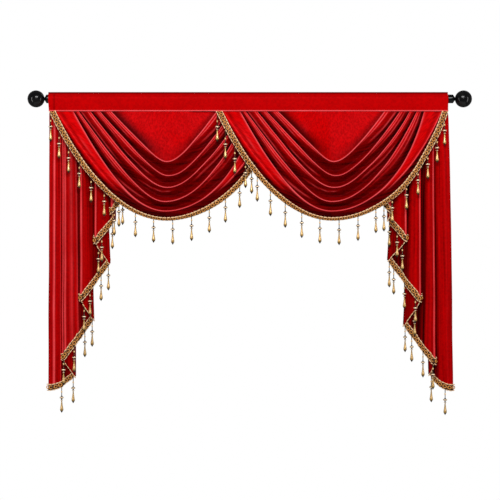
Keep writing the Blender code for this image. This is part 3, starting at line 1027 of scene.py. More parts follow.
@dataclass(frozen=True)
class Row:
    """One row of a swag's grid.

    Attributes:
        line: the fold line above it.
        share: its share of the way to the next line in the swag's middle.
        share_at_ends: the same at its sides.
        lift: how far it stands out of the valley in the middle.
        lift_at_ends: the same at the sides.
        crest: how far it is on a crest, which sets its painted highlight, in the middle and at the
            sides.
        hollow: how much shade is painted on it, deepest in the valleys between folds, in the middle
            and at the sides.
    """

    line: int
    share: float
    share_at_ends: float
    lift: float = 1.0
    lift_at_ends: float = 1.0
    crest: tuple[float, float] = (0.0, 0.0)
    hollow: tuple[float, float] = (0.0, 0.0)


@dataclass
class Swag:
    """One swag: a cut piece of velvet that hangs in curved folds from the pocket.

    Attributes:
        side: which swag it is. The right one hangs in front where they cross.
        centre: where its middle is along the rod.
        lean: how far its folds lie aside, except towards its right end.
        drawn_in: how far the right of its lower edge is drawn in.
        broad_fold_shade: how much shade is painted on its last fold at its left and right.
        flat: the cut cloth's width and height before it is folded, in metres; not used.
        area: the cut cloth's area in square metres; not used.
        held: how the cloth is held; not used.
        seam_y: where the cloth is at the seam.
        fullness: how far towards its ends the folds keep their depth.
        fullness_hidden: the same for the end that is behind the other swag.
        relief: how far its ends stand forward.
        relief_below: how far below the seam that comes about.
        overlay: how far the right swag's left stands forward over the left swag.
        underlay: how far the left swag's right end lies back under the right swag.
        free_below: how far below the seam the folds come about.
        lean_below: how far below the seam the lean is complete.
        drawn_in_at: the height below the seam where its edge is drawn in.
        drawn_in_over: how far up and down that reaches.
        columns: points along each row.
        fold_rows: rows in each fold.
        stations: points along the braid.
        open_tone: how dark the cloth is above the first fold.
    """

    side: Side
    centre: float
    lean: float = 0.0
    drawn_in: float = 0.0
    broad_fold_shade: tuple[float, float] = (0.22, 0.22)
    flat: tuple[float, float] = (1.27, 0.57)
    area: float = 0.333
    held: str = "draped"
    seam_y: float = -10.9 * MM
    fullness: float = 2.2
    fullness_hidden: float = 1.4
    relief: float = 7.0 * MM
    relief_below: float = 25.0 * MM
    overlay: float = 22.0 * MM
    underlay: float = 6.2 * MM
    free_below: float = 45 * MM
    lean_below: float = 350 * MM
    drawn_in_at: float = -185 * MM
    drawn_in_over: float = 90 * MM
    columns: int = 150
    fold_rows: int = 28
    stations: int = 300
    open_tone: float = 0.30

    def across(self, count: int) -> np.ndarray:
        """Places across the swag, closer together near its ends."""
        even = np.linspace(-1.0, 1.0, count)
        return between(even, np.sin(even * math.pi / 2), 0.6)

    def rows(self) -> list[Row]:
        """Sets out the rows of the cloth's grid.

        Returns:
            The rows, from the seam down.
        """
        made = [Row(0, share, share) for share in OPEN_SHARES]
        for line in range(1, LAST_FOLD):
            for a, rise_a, b, rise_b, *marks in smooth_section(self.fold_rows)[:-1]:
                crest, hollow = (marks[0], marks[2]), (marks[1], marks[3])
                made.append(Row(line, a, b, rise_a, rise_b, crest, hollow))
        # The last fold: a painted highlight along its crest and painted shade below it.
        for share in LAST_FOLD_SHARES:
            dip = bell(share, 0.8, 0.14)
            lift = 1 - 0.10 * dip
            crest = (bell(share, 0.0, 0.16), bell(share, 0.0, 0.05))
            hollow = (0.95 * ease(share / 0.2), 0.30 * dip)
            made.append(Row(LAST_FOLD, share, share, lift, lift, crest, hollow))
        # Down to the edge: painted shade, and a painted highlight along the crest at the sides.
        for share in EDGE_SHARES:
            crest, hollow = (0.0, bell(share, 0.0, 0.06)), (0.96, 0.97 * ease(share / 0.16))
            made.append(Row(LAST_FOLD + 1, share, share, 1.0, 1.0, crest, hollow))
        return made

    def sideways(self, across: np.ndarray) -> np.ndarray:
        """How far places belong to the swag's sides, from 0 to 1."""
        return np.where(across < 0, rising(-across, 0.12, 0.5), rising(across, 0.42, 0.45))

    def surface(self, row: Row, across: np.ndarray) -> np.ndarray:
        """Points of the cloth along a row.

        Args:
            row: the row.
            across: the places across the swag.

        Returns:
            One point for each place.
        """
        is_left = self.side is Side.LEFT
        fullness = np.where(is_left & (across > 0), self.fullness_hidden, self.fullness)
        freedom = 1 - np.abs(across) ** fullness
        share = between(row.share, row.share_at_ends, self.sideways(across))
        upper, lower = (SWAG_LINES[row.line + k].place(across) for k in (0, 1))
        x, z = (between(upper[k], lower[k], share) for k in (0, 1))
        free = 1 - np.exp(z / self.free_below)
        depth = self.forward(row, share, across) * MM * freedom
        relief = self.relief * row.lift_at_ends * (1 - freedom)
        depth = depth + relief * (1 - np.exp(z / self.relief_below))
        if is_left:
            depth = depth - self.underlay * rising(across, 0.5, 0.3)
        else:
            depth = depth + self.overlay * rising(-across, 0.05, 0.5) * free
        for crease in SWAG_CREASES:
            strength = crease.strength(row.line, row.share_at_ends, across)
            depth = depth + crease.height * MM * strength * free
        depth = depth + 1.0 * MM * ripple(x * 2.2, z * 2.2, 1.0 + self.centre) * free
        x = x + 1.5 * MM * ripple(z * 1.5, x, 3.0 + self.centre) * free * freedom
        aside = self.lean * (1 - rising(across, 0.2, 0.8))
        x = x + aside * (0.5 + 0.5 * np.clip(-z / self.lean_below, 0, 1))
        if row.line > LAST_FOLD:
            inward = self.drawn_in * row.share * rising(across, 0.4, 0.3)
            x = x - inward * bell(z, self.drawn_in_at, self.drawn_in_over)
        return np.stack([self.centre + x, self.seam_y - depth, HANG + z], axis=-1)

    def forward(self, row: Row, share: np.ndarray, across: np.ndarray) -> np.ndarray:
        """How far the cloth would stand out in the swag's middle.

        Args:
            row: the row.
            share: each place's share of the way to the next line.
            across: the places across the swag.

        Returns:
            One distance in millimetres for each place.
        """
        crest, ahead = SWAG_LINES[row.line].forward, SWAG_LINES[row.line + 1].forward
        if row.line == 0:
            return ahead * share**1.5
        if row.line > LAST_FOLD:
            return between(crest, ahead, 1 - (1 - share) ** 0.7)
        ridge = between(crest, ahead, np.clip(share, 0, 1))
        lift = between(row.lift, row.lift_at_ends, self.sideways(across))
        return between(SWAG_VALLEYS[row.line], ridge, lift)

    def marks(self, row: Row, across: np.ndarray) -> tuple[np.ndarray, np.ndarray]:
        """How much painted highlight and painted shade each place of a row has.

        Args:
            row: the row.
            across: the places across the swag.

        Returns:
            How far each is on a crest, for a painted highlight, and how much shade is painted on
            it, from 0 to 1.
        """
        # Painted highlights along crests and creases, and painted shade in the valleys, less of it
        # on the creases.
        aside, is_left = self.sideways(across), across < 0
        if row.line >= LAST_FOLD:
            aside = np.where(is_left, rising(-across, 0.38, 0.2), rising(across, 0.45, 0.25))
        crest = between(*row.crest, aside)
        hollow = between(0.95 * row.hollow[0], row.hollow[1], aside)
        if row.line == LAST_FOLD:
            hollow = hollow + np.where(is_left, *self.broad_fold_shade) * aside
        if row.line > LAST_FOLD:
            crest = np.where(is_left, 0.15, 0.8) * crest
            left = between(row.hollow[0], 0.97 * ease(row.share / 0.42), aside)
            hollow = np.where(is_left, left, hollow)
        for crease in SWAG_CREASES:
            strength = crease.strength(row.line, row.share_at_ends, across)
            crest = crest + 0.45 * strength**5
            hollow = hollow * (1 - 0.4 * strength)
        inner = 1 - rising(np.abs(across), 0.97, 0.03)
        return np.clip(crest, 0, 1) * (0.35 + 0.65 * inner), np.clip(hollow, 0, 1)

    def shade(self, grid: np.ndarray) -> tuple[np.ndarray, np.ndarray]:
        """How much painted shade the cloth above the first fold has, and how far it dips, as it
        nears the fold.

        Args:
            grid: the rows above the first fold.

        Returns:
            Its marks for a painted highlight on the crest and for painted shade, and its dip in
            metres.
        """
        fine = np.linspace(-1, 1, 500)
        line = self.surface(Row(1, 0.0, 0.0), fine)[:, ::2]
        apart = np.linalg.norm(grid[:, :, None, ::2] - line[None, None], axis=-1)
        nearest, distance = fine[apart.argmin(axis=-1)], apart.min(axis=-1)
        reach = np.interp(nearest, SHADE_ACROSS, SHADE_REACH) * MM
        strength = np.interp(nearest, SHADE_ACROSS, SHADE_STRENGTH)
        near = (1 - rising(distance, 6 * MM, reach)) * ease(distance / (2 * MM))
        # A painted highlight along the first fold, and painted shade on the cloth above it that
        # deepens near the fold.
        crest, hollow = bell(distance, 0.0, 1.5 * MM), between(self.open_tone, strength, near)
        deepest = 0.35 * reach
        dip = 5 * MM * strength * distance / deepest * np.exp(1 - distance / deepest)
        free = 1 - np.exp((grid[..., 2] - HANG) / self.free_below)
        return np.stack([crest, hollow]), dip * free

    def grid(self) -> tuple[np.ndarray, dict[str, np.ndarray]]:
        """Sets out the cloth's middle surface.

        Returns:
            Rows of points, and the marks of each point for painted highlights on crests, for
            painted shade, and for folded cloth.
        """
        across = self.across(self.columns)
        rows = self.rows()
        grid = np.array([self.surface(row, across) for row in rows])
        marks = np.array([self.marks(row, across) for row in rows]).transpose(1, 0, 2)
        above = sum(row.line == 0 for row in rows)
        marks[:, :above], dip = self.shade(grid[:above])
        grid[:above, :, 1] += dip
        grid = np.concatenate([grid[:1] + np.array([0, 0, TUCK]), grid])
        crest, hollow = np.pad(marks, ((0, 0), (1, 0), (0, 0)))
        folded = np.array([[0.0]] + [[float(row.line > 0)] for row in rows])
        return grid, {"crest": crest, "hollow": hollow, "folded": folded * np.ones(self.columns)}

    def strip(self) -> np.ndarray:
        """Finds the part of the cloth under the braid.

        Returns:
            Lines of points, from the lower edge up.
        """
        across = self.across(self.stations)
        last, part = LAST_FOLD + 1, 0.1
        edge, above = (self.surface(Row(last, s, s), across) for s in (1.0, 1.0 - part))
        along = unit(np.gradient(edge, axis=0))
        step = above - edge
        square = step - (step * along).sum(axis=1, keepdims=True) * along
        full = np.linalg.norm(square, axis=1) / part
        covered = np.minimum(BRAID_WIDTH / np.maximum(full, 1e-6), 0.85)
        grid = []
        for k in range(BRAID_LINES):
            shares = 1 - covered * k / (BRAID_LINES - 1)
            line = [self.surface(Row(last, s, s), a[None])[0] for s, a in zip(shares, across)]
            grid.append(hung_part(np.array(line), HANG - 0.8 * MM, self.stations))
        return np.array(grid)

    def build(self, velvet: bpy.types.Material) -> bpy.types.Object:
        """Makes the swag's cloth."""
        grid, marks = self.grid()
        return closed_sheet(f"swag_cloth_{self.side.value}", grid, CLOTH, velvet, marks)


def hung_part(line: np.ndarray, limit: float, count: int) -> np.ndarray:
    """The part of a line of points below a height, cut off there.

    Args:
        line: the line's points.
        limit: the height.
        count: how many points to return.

    Returns:
        Points spaced evenly along the line, counted in its own points.
    """
    inside = np.nonzero(line[:, 2] < limit)[0]
    first, last = inside[0], inside[-1]
    start, stop = float(first), float(last)
    if first > 0:
        start -= (limit - line[first, 2]) / (line[first - 1, 2] - line[first, 2])
    if last + 1 < len(line):
        stop += (limit - line[last, 2]) / (line[last + 1, 2] - line[last, 2])
    return resampled(line, range(len(line)), np.linspace(start, stop, count))


@dataclass(frozen=True)
class Pleat:
    """An edge or fold of a tail, in millimetres.

    Attributes:
        inward_seam: how far in it lies at the seam.
        inward_hem: how far in it lies at the hem.
        hem: how far down the hem is there.
        deep: how many layer spacings further back it lies.
        drops: where drops hang, as shares of the way to the next fold.
        waves: how the panel runs: shares of what shows of it, each with how deep it lies there, in
        layer spacings, and how far it is on a crest, which sets its painted highlight.
    """

    inward_seam: float
    inward_hem: float
    hem: float
    deep: float
    drops: tuple[float, ...] = ()
    waves: tuple[tuple[float, float, float], ...] = (
        (0.18, 0.35, 0.0), (0.45, 0.22, 0.1), (0.72, 0.45, 0.0), (0.90, 1.1, 0.0)
    )


@dataclass(frozen=True)
class Section:
    """A place across a tail's cloth.

    Attributes:
        fold: the fold before it.
        share: its share of the way to the next fold.
        level: how deep it lies, in layer spacings.
        aside: how far aside it lies, in layer spacings.
        deep: how much of the fold's own depth it takes.
        crest: how far it is on a crest, which sets its painted highlight.
    """

    fold: int
    share: float
    level: float
    aside: float = 0.0
    deep: float = 0.0
    crest: float = 0.0


LEFT_PLEATS = (
    Pleat(1, -4, 1049, 0, (0.47, 0.93), (
        (0.10, 0.20, 0.35), (0.24, 0.35, 0.0), (0.44, 0.0, 1.0), (0.60, 0.35, 0.0),
        (0.85, 0.45, 0.0), (0.92, 0.30, 0.6), (0.97, 0.9, 0.0),
    )),
    Pleat(95, 98, 998, 0),
    Pleat(48, 46, 934, 0, (0.07, 0.38, 0.72, 0.96), (
        (0.10, 0.40, 0.0), (0.20, 0.0, 0.9), (0.32, 0.35, 0.0), (0.57, 0.15, 0.62),
        (0.78, 0.45, 0.0), (0.89, 0.30, 0.65),
    )),
    Pleat(145, 165, 785, 2, (0.70,)),
    Pleat(114, 115, 711, 0, (0.33, 0.70, 0.96), (
        (0.25, 0.35, 0.0), (0.36, 0.22, 0.2), (0.52, 0.6, 0.0), (0.75, 1.05, 0.0)
    )),
    Pleat(205, 226, 572, 2, (0.74,)),
    Pleat(171, 169, 495, 0, (0.36, 0.86)),
    Pleat(252, 249, 407, 0),
    Pleat(233, 230, 384, 0, (0.25, 0.85)),
    Pleat(280, 281, 318, 0),
)
RIGHT_PLEATS = (
    Pleat(1, -21, 1050, 0, (0.34, 0.91), (
        (0.15, 0.20, 0.0), (0.30, 0.05, 0.3), (0.50, 0.15, 0.0), (0.70, 0.25, 0.15),
        (0.80, 0.7, 0.0),
    )),
    Pleat(82, 71, 990, 0),
    Pleat(52, 45, 951, 0, (0.07, 0.37, 0.73, 0.96), (
        (0.20, 0.40, 0.0), (0.45, 0.15, 0.25), (0.62, 0.5, 0.0), (0.76, 1.3, 0.0)
    )),
    Pleat(130, 164, 806, 2, (0.62,)),
    Pleat(101, 100, 715, 0, (0.17, 0.48, 0.80, 0.96)),
    Pleat(190, 224, 560, 2, (0.76,)),
    Pleat(154, 153, 486, 0, (0.50, 0.93)),
    Pleat(228, 226, 407, 0),
    Pleat(214, 212, 380, 0, (0.60,)),
    Pleat(258, 257, 329, 0),
)


@dataclass
class Tail:
    """One tail: a cut piece of velvet in knife pleats, longest at its outer edge.

    Attributes:
        side: which tail it is.
        pleats: its edges and folds, from the outer edge in. Odd ones lie behind.
        end: where its outer edge is along the rod.
        inward_sign: the direction along the rod that is inwards for it.
        sag: how far the hem of its outer panel sags.
        recess_shade: how much shade is painted on it in its recesses.
        flat: the cut cloth's width and height before it is pleated, in metres; not used.
        area: the cut cloth's area in square metres; not used.
        held: how the cloth is held; not used.
        seam_y: where the frontmost layer is at the seam.
        free_y: where it is once it hangs free.
        free_below: how far below the seam that is.
        layer_seam: the spacing of its layers at the seam.
        layer_hem: their spacing where they have opened.
        open_below: how far below the seam that is.
        fold_flat: how far the hem runs level before it rises behind a fold.
        rippled_below: how far below the seam its ripples are complete.
        steps: points from one section to the next.
        rows: points from the seam to the hem.
    """

    side: Side
    pleats: tuple[Pleat, ...]
    end: float
    inward_sign: int
    sag: float = 13 * MM
    recess_shade: float = 0.44
    flat: tuple[float, float] = (1.12, 1.06)
    area: float = 0.483
    held: str = "gathered"
    seam_y: float = -6.9 * MM
    free_y: float = -2.0 * MM
    free_below: float = 80.0 * MM
    layer_seam: float = 3.2 * MM
    layer_hem: float = 11.0 * MM
    open_below: float = 250.0 * MM
    fold_flat: float = 10 * MM
    rippled_below: float = 200 * MM
    steps: int = 5
    rows: int = 60

    def sections(self) -> list[Section]:
        """Sets out the sections across the cloth.

        Returns:
            The sections, from the cloth's outer edge to its inner one.
        """
        made = [Section(0, 0.0, 0.8), Section(0, 0.05, 0.45)]
        made += self.panel(0)
        last = len(self.pleats) - 1
        for fold in range(1, last):
            if fold % 2:
                made += [Section(fold - 1, 1.0, 2.0, -0.5, 1), Section(fold, 0.0, 1.5, 0, 1)]
                made += [Section(fold, 0.0, 1.0, -0.5, 1)]
                continue
            made += [Section(fold - 1, 1.0, 1.0, 0.5), Section(fold, 0.0, 0.5)]
            made.append(Section(fold, 0.0, 0.0, 0.5, 0.0, 0.9))
            if fold == last - 1:
                made.append(Section(fold, 0.5, 0.3))
                continue
            made += self.panel(fold)
        made.append(Section(last - 1, 1.0, 0.9))
        return made

    def panel(self, fold: int) -> list[Section]:
        """The panel that shows from a fold to the one laid over it.

        Args:
            fold: the fold.

        Returns:
            Its sections, from the fold inwards.
        """
        start, back = self.pleats[fold].inward_hem, self.pleats[fold + 1].inward_hem
        shown = (self.pleats[fold + 2].inward_hem - start) / (back - start)
        made = []
        for share, level, crest in self.pleats[fold].waves:
            made.append(Section(fold, share * shown, level, crest=crest))
        return made + [Section(fold, min(shown + 0.01, 0.9), 1.90)]

    def folds(self, section: Section) -> tuple[Pleat, Pleat]:
        """The folds before and after a section."""
        after = min(section.fold + 1, len(self.pleats) - 1)
        return self.pleats[section.fold], self.pleats[after]

    def hem(self, section: Section) -> float:
        """How far the hem is below the pocket at a section.

        Args:
            section: the section.

        Returns:
            The distance.
        """
        start, stop = self.folds(section)
        share = section.share
        if section.fold == 0:
            return between(start.hem, stop.hem, share) * MM + self.sag * 4 * share * (1 - share)
        if section.fold % 2 == 0:
            flat = self.fold_flat / (abs(stop.inward_hem - start.inward_hem) * MM)
            share = max(0.0, (share - flat) / (1 - flat))
        return between(start.hem, stop.hem, share) * MM

    def rise(self, section: Section) -> float:
        """How high the braid stands where the hem slopes.

        Args:
            section: the section.

        Returns:
            The braid's upright height there, as a multiple of its width.
        """
        if section.fold % 2 == 0 and section.share == 0:
            return 1.15
        start, stop = self.folds(section)
        width = abs(stop.inward_hem - start.inward_hem) + 1
        return min(math.hypot(1, (stop.hem - start.hem) / width), 1.7)

    def inward(self, fold: int, below: np.ndarray) -> np.ndarray:
        """How far in a fold lies at distances below the seam.

        Args:
            fold: the fold.
            below: the distances.

        Returns:
            One distance inwards for each.
        """
        pleat = self.pleats[min(fold, len(self.pleats) - 1)]
        share = np.clip(below / (pleat.hem * MM), 0, None) ** (0.5 if fold == 0 else 1.0)
        return between(pleat.inward_seam, pleat.inward_hem, share) * MM

    def column(self, section: Section, below: np.ndarray) -> np.ndarray:
        """Where the cloth is at a section, at distances below the seam.

        Args:
            section: the section.
            below: the distances.

        Returns:
            x and y for each distance.
        """
        opened = ease(below / self.open_below)
        spacing = between(self.layer_seam, self.layer_hem, opened)
        near, far = (self.inward(section.fold + k, below) for k in (0, 1))
        inward = between(near, far, section.share) + section.aside * spacing
        owner = self.pleats[section.fold + 1 if section.share > 0 else section.fold]
        level = section.level + section.deep * owner.deep * opened
        front = between(self.seam_y, self.free_y, ease(below / self.free_below))
        return np.stack([self.end + self.inward_sign * inward, front + level * spacing], axis=-1)

    def surface(self, place: float, below: np.ndarray) -> np.ndarray:
        """Points of the cloth, smoothly between its sections.

        Args:
            place: where across the cloth, counted in sections.
            below: distances below the seam.

        Returns:
            One point for each distance.
        """
        sections = self.sections()
        index = min(int(place), len(sections) - 2)
        share = place - index
        around = [min(max(index + k, 0), len(sections) - 1) for k in (-1, 0, 1, 2)]
        p0, p1, p2, p3 = (self.column(sections[k], below) for k in around)
        straight = np.linalg.norm(p2 - p1, axis=-1, keepdims=True)
        into, out = shortened(0.5 * (p2 - p0), straight), shortened(0.5 * (p3 - p1), straight)
        flat = curved(p1, into, p2, out, share)
        free = ease(below / self.rippled_below)
        flat[:, 1] += 0.9 * MM * ripple(flat[:, 0] * 3.0, below * 0.4, 2.0 + self.end) * free
        flat[:, 0] += 1.0 * MM * ripple(below * 0.5, flat[:, 0] * 0.3, 5.0 + self.end) * free
        return np.column_stack([flat, POCKET_BOTTOM - below])

    def across(self, of_section: list[float]) -> np.ndarray:
        """A number given for each section, at all the grid's places."""
        last = len(of_section) - 1
        return np.interp(np.linspace(0, last, last * self.steps + 1), range(last + 1), of_section)

    def grid(self) -> tuple[np.ndarray, dict[str, np.ndarray]]:
        """Sets out the cloth's middle surface.

        Returns:
            Rows of points, and the marks of each point for painted highlights on crests, for
            painted shade, and for folded cloth.
        """
        sections = self.sections()
        places = self.across(list(range(len(sections))))
        hems = self.across([self.hem(section) for section in sections])
        levels = self.across([section.level for section in sections])
        # Painted highlights along the folds' crests, and painted shade that deepens the further
        # back a layer lies, with none on the highlights.
        crest = self.across([section.crest for section in sections]) ** 3
        hollow = (0.48 + self.recess_shade * rising(levels, 0.35, 1.3)) * (1 - crest)
        down, columns = np.linspace(0, 1, self.rows), []
        for place, hem in zip(places, hems):
            columns.append(self.surface(place, np.concatenate([[-TUCK], down * hem])))
        whole = np.ones((self.rows + 1, len(places)))
        marks = {"crest": whole * crest, "hollow": whole * hollow, "folded": whole}
        return np.array(columns).transpose(1, 0, 2), marks

    def strip(self) -> np.ndarray:
        """Finds the part of the cloth under the braid.

        Returns:
            Lines of points, from the hem up.
        """
        sections = self.sections()
        places = self.across(list(range(len(sections))))
        hems = self.across([self.hem(section) for section in sections])
        heights = self.across([self.rise(section) for section in sections]) * BRAID_WIDTH
        grid = []
        for k in range(BRAID_LINES):
            below = hems - heights * k / (BRAID_LINES - 1)
            grid.append([self.surface(p, np.array([b]))[0] for p, b in zip(places, below)])
        return np.array(grid)

    def build(self, velvet: bpy.types.Material) -> bpy.types.Object:
        """Makes the tail's cloth."""
        grid, marks = self.grid()
        return closed_sheet(f"tail_cloth_{self.side.value}", grid, CLOTH, velvet, marks)


def shortened(step: np.ndarray, straight: np.ndarray) -> np.ndarray:
    """Steps no longer than 1.3 times the distances given, so that a curve doesn't loop."""
    length = np.maximum(np.linalg.norm(step, axis=-1, keepdims=True), 1e-9)
    return step * np.minimum(1.0, 1.3 * straight / length)


@dataclass
class RodPocket:
    """The band across the top: one strip of velvet folded over the rod.

    Attributes:
        crest_z: the height of its top.
        on_rod: how far from the rod's middle the cloth is.
        on_collar: the same at its left end, where it covers the finial's collar.
        covered: how far in that reaches.
        flare: how far its left end leans out at the top.
        flare_over: how far in that reaches.
        seam_front: where its front is at the lower edge.
        seam_back: where its back is there, over the tails.
        seam_back_middle: the same between the tails.
        tail_zone: how far in the tails reach.
        ripple: how far its front waves.
        gathers: how far the small gathers at the seam stand out.
        side_hem: how far in the side hem's stitched line is.
        stitch_up: how far above the lower edge the line of stitches is.
        open_tone: how dark the band is.
        stations: points along it.
        finer: points from one corner of its section to the next.
    """

    crest_z: float = 24.8 * MM
    on_rod: float = 15.8 * MM
    on_collar: float = 18.1 * MM
    covered: float = 14.0 * MM
    flare: float = 3.5 * MM
    flare_over: float = 20 * MM
    seam_front: float = -13.2 * MM
    seam_back: float = 2.9 * MM
    seam_back_middle: float = -0.8 * MM
    tail_zone: float = 290 * MM
    ripple: float = 1.0 * MM
    gathers: float = 0.5 * MM
    side_hem: float = 20 * MM
    stitch_up: float = 3.5 * MM
    open_tone: float = 0.33
    stations: int = 420
    finer: int = 5

    def section(self, x: float) -> np.ndarray:
        """The folded section at a place along the rod.

        Args:
            x: the place.

        Returns:
            y and z of points up the front, over the rod, and down the back.
        """
        ends = min(x - POCKET_LEFT, POCKET_RIGHT - x)
        middle = rising(ends, self.tail_zone, self.tail_zone / 2)
        back = between(self.seam_back, self.seam_back_middle, middle)
        beside = 1 - rising(x - POCKET_LEFT, self.covered, 2 * self.covered)
        radius = between(self.on_rod, self.on_collar, beside)
        uneven = math.sin(x / (41 * MM)) * math.sin(x / (97 * MM) + 1)
        wave = self.ripple * (0.5 + 0.5 * uneven)
        shoulder = math.acos(radius / self.crest_z)
        halfway = math.pi / 4 + shoulder / 2
        over = [(radius, math.pi / 2), (1.02 * radius, halfway), (radius, shoulder)]
        upwards = [(r * math.sin(angle), r * math.cos(angle)) for r, angle in over]
        corners = np.array([
            (self.seam_front, POCKET_BOTTOM),
            (self.seam_front - 0.8 * MM, POCKET_BOTTOM + 1.5 * MM),
            (self.seam_front - 0.2 * MM, POCKET_BOTTOM + 4.5 * MM),
            (-0.92 * radius - wave, 0.55 * POCKET_BOTTOM),
            *[(-y - wave, z) for y, z in upwards[:2]],
            (-upwards[2][0], upwards[2][1]),
            (0, self.crest_z),
            *upwards[::-1],
            (0.75 * radius, 0.45 * POCKET_BOTTOM),
            (back, POCKET_BOTTOM),
        ])
        steps = np.linspace(0, len(corners) - 1, self.finer * (len(corners) - 1) + 1)
        made = resampled(corners, range(len(corners)), steps)
        is_front = np.clip(-made[:, 0] / (8 * MM), 0, 1)
        height = (made[:, 1] - POCKET_BOTTOM) / (self.crest_z - POCKET_BOTTOM)
        gathers = self.gathers * math.sin(x / (3.1 * MM) + 2 * math.sin(x / (53 * MM)))
        made[:, 0] += gathers * is_front * np.exp(-height / 0.12) * np.clip(height / 0.03, 0, 1)
        made[:, 0] += 0.9 * MM * is_front * bell(x, POCKET_LEFT + self.side_hem, 2 * MM)
        return made

    def stitch_path(self) -> bpy.types.Mesh:
        """Finds the line of stitches.

        Returns:
            A path just above the lower edge, on the front.
        """
        z, points = POCKET_BOTTOM + self.stitch_up, []
        for x in np.linspace(POCKET_LEFT + self.side_hem, POCKET_RIGHT - 4 * MM, self.stations):
            front = self.section(x)[: self.finer * 5]
            y = np.interp(z, front[:, 1], front[:, 0])
            points.append((x, y - CLOTH / 2 - 0.2 * MM, z))
        out = np.tile((0.0, -1.0, 0.0), (len(points), 1))
        return path_mesh("pocket_stitch_path", np.array(points), out)

    def marks(self, grid: np.ndarray) -> dict[str, np.ndarray]:
        """How much painted highlight and painted shade each point has.

        Args:
            grid: the pocket's middle surface.

        Returns:
            How far each point is on a crest, here the lower edge, for a painted highlight, and how
            much shade is painted on it.
        """
        height = (grid[..., 2] - POCKET_BOTTOM) / MM
        is_front = grid[..., 1] < -8 * MM
        # Painted shade along the side hem's crease and over the top of the band, where it turns
        # away from the light.
        hem_crease_shade = 0.4 * bell(grid[..., 0], POCKET_LEFT + self.side_hem, 2.5 * MM)
        over = 0.45 * rising(grid[..., 2], 15 * MM, 6 * MM)
        return {
            # A painted highlight along the front's lower edge.
            "crest": np.where(is_front, 1 - rising(height, 2.2, 2.0), 0.0),
            "hollow": self.open_tone + np.where(is_front, hem_crease_shade, 0.0) + over,
        }

    def build(self, velvet: bpy.types.Material) -> bpy.types.Object:
        """Makes the pocket's cloth.

        Args:
            velvet: its material.

        Returns:
            The new object.
        """
        columns = []
        for x in np.linspace(POCKET_LEFT, POCKET_RIGHT, self.stations):
            section = self.section(x)
            height = (section[:, 1] - POCKET_BOTTOM) / (self.crest_z - POCKET_BOTTOM)
            flare = self.flare * max(0.0, 1 - (x - POCKET_LEFT) / self.flare_over)
            columns.append(np.column_stack([x - flare * height, section]))
        grid = np.array(columns).transpose(1, 0, 2)
        return closed_sheet("pocket_cloth", grid, CLOTH, velvet, self.marks(grid))


# The braid and the drops.


@dataclass
class GimpBraid:
    """A gold gimp braid along one lower edge: a woven strip, edge cords, rings and knots.

    Attributes:
        name: the start of its pieces' names.
        strip: the cloth under it, as a grid of points.
        gap: its distance from the cloth.
        thickness: the woven strip's thickness.
        cord_pitch: the length of one turn of the edge cords.
        ring_pitch: the distance from one ring to the next.
        middle_line: where the rings and knots are, as a share of the way up.
    """

    name: str
    strip: np.ndarray
    gap: float = 0.35 * MM
    thickness: float = 1.2 * MM
    cord_pitch: float = 14.6 * MM
    ring_pitch: float = 19.0 * MM
    middle_line: float = 0.46

    def line(self, share: float, lift: float) -> tuple[np.ndarray, np.ndarray]:
        """A line along the braid.

        Args:
            share: 0 at its lower edge and 1 at its upper one.
            lift: how far it stands off the cloth's middle.

        Returns:
            The line's points and its outward directions.
        """
        normals = sheet_normals(self.strip)
        place = share * (len(self.strip) - 1)
        index = max(0, min(int(place), len(self.strip) - 2))
        points = between(self.strip[index], self.strip[index + 1], place - index)
        out = unit(between(normals[index], normals[index + 1], place - index))
        return points + out * lift, out

    def build(
        self, trees: dict[str, RowTree], shapes: dict[str, bpy.types.Object],
        finishes: dict[str, bpy.types.Material],
    ) -> list[bpy.types.Object]:
        """Makes the braid's pieces.

        Args:
            trees: the Geometry Nodes trees, by name.
            shapes: the small shapes that they copy.
            finishes: the thread finishes.

        Returns:
            The woven strip, the edge cords, the rings and the knots.
        """
        middle = CLOTH / 2 + self.gap + self.thickness / 2
        band = self.strip + sheet_normals(self.strip) * middle
        pieces = [closed_sheet(f"{self.name}_strip", band, self.thickness, finishes["weave"])]
        top, half = middle + self.thickness / 2, self.ring_pitch / 2
        rows = (
            ("lower_cord", -0.05, 0.9 * MM, "dash", "cord", self.cord_pitch, 0.0),
            ("upper_cord", 0.95, top + 0.3 * MM, "dash", "cord", self.cord_pitch, 0.0),
            ("rings", self.middle_line, top + 0.4 * MM, "ring", "ring", self.ring_pitch, 0.0),
            ("knots", self.middle_line, top + 0.2 * MM, "knot", "knot", self.ring_pitch, half),
        )
        for word, share, lift, shape, finish, pitch, start in rows:
            name = f"{self.name}_{word}"
            points, out = self.line(share, lift)
            kept = lengths_along(points) >= start
            path = path_mesh(f"{name}_path", points[kept], out[kept])
            pieces.append(trees["path"].make(
                name, path, Shape=shapes[shape], Finish=finishes[finish], Pitch=pitch
            ))
        return pieces


@dataclass
class BeadDrops:
    """The bead drops that hang from one braid's lower edge.

    Attributes:
        name: the piece's name.
        points: where each drop's bead part starts.
        leans: how far forward each leans.
        strings: how much longer each one's string is.
    """

    name: str
    points: np.ndarray
    leans: np.ndarray
    strings: np.ndarray

    def build(
        self, trees: dict[str, RowTree], shapes: dict[str, bpy.types.Object],
        gold: bpy.types.Material,
    ) -> bpy.types.Object:
        """Makes the drops as one piece.

        Args:
            trees: the Geometry Nodes trees, by name.
            shapes: the small shapes that they copy.
            gold: the beads' finish.

        Returns:
            The new object.
        """
        base = bpy.data.meshes.new(self.name + "_points")
        base.from_pydata(self.points.tolist(), [], [])
        turns = [(0.7 * k) % 1.3 for k in range(len(self.points))]
        for word, values in (("lean", self.leans), ("string", self.strings), ("turn", turns)):
            store(base, word, values)
        return trees["hang"].make(
            self.name, base, Shape=shapes["drop"], Finish=gold, Reach=DROP_REACH
        )


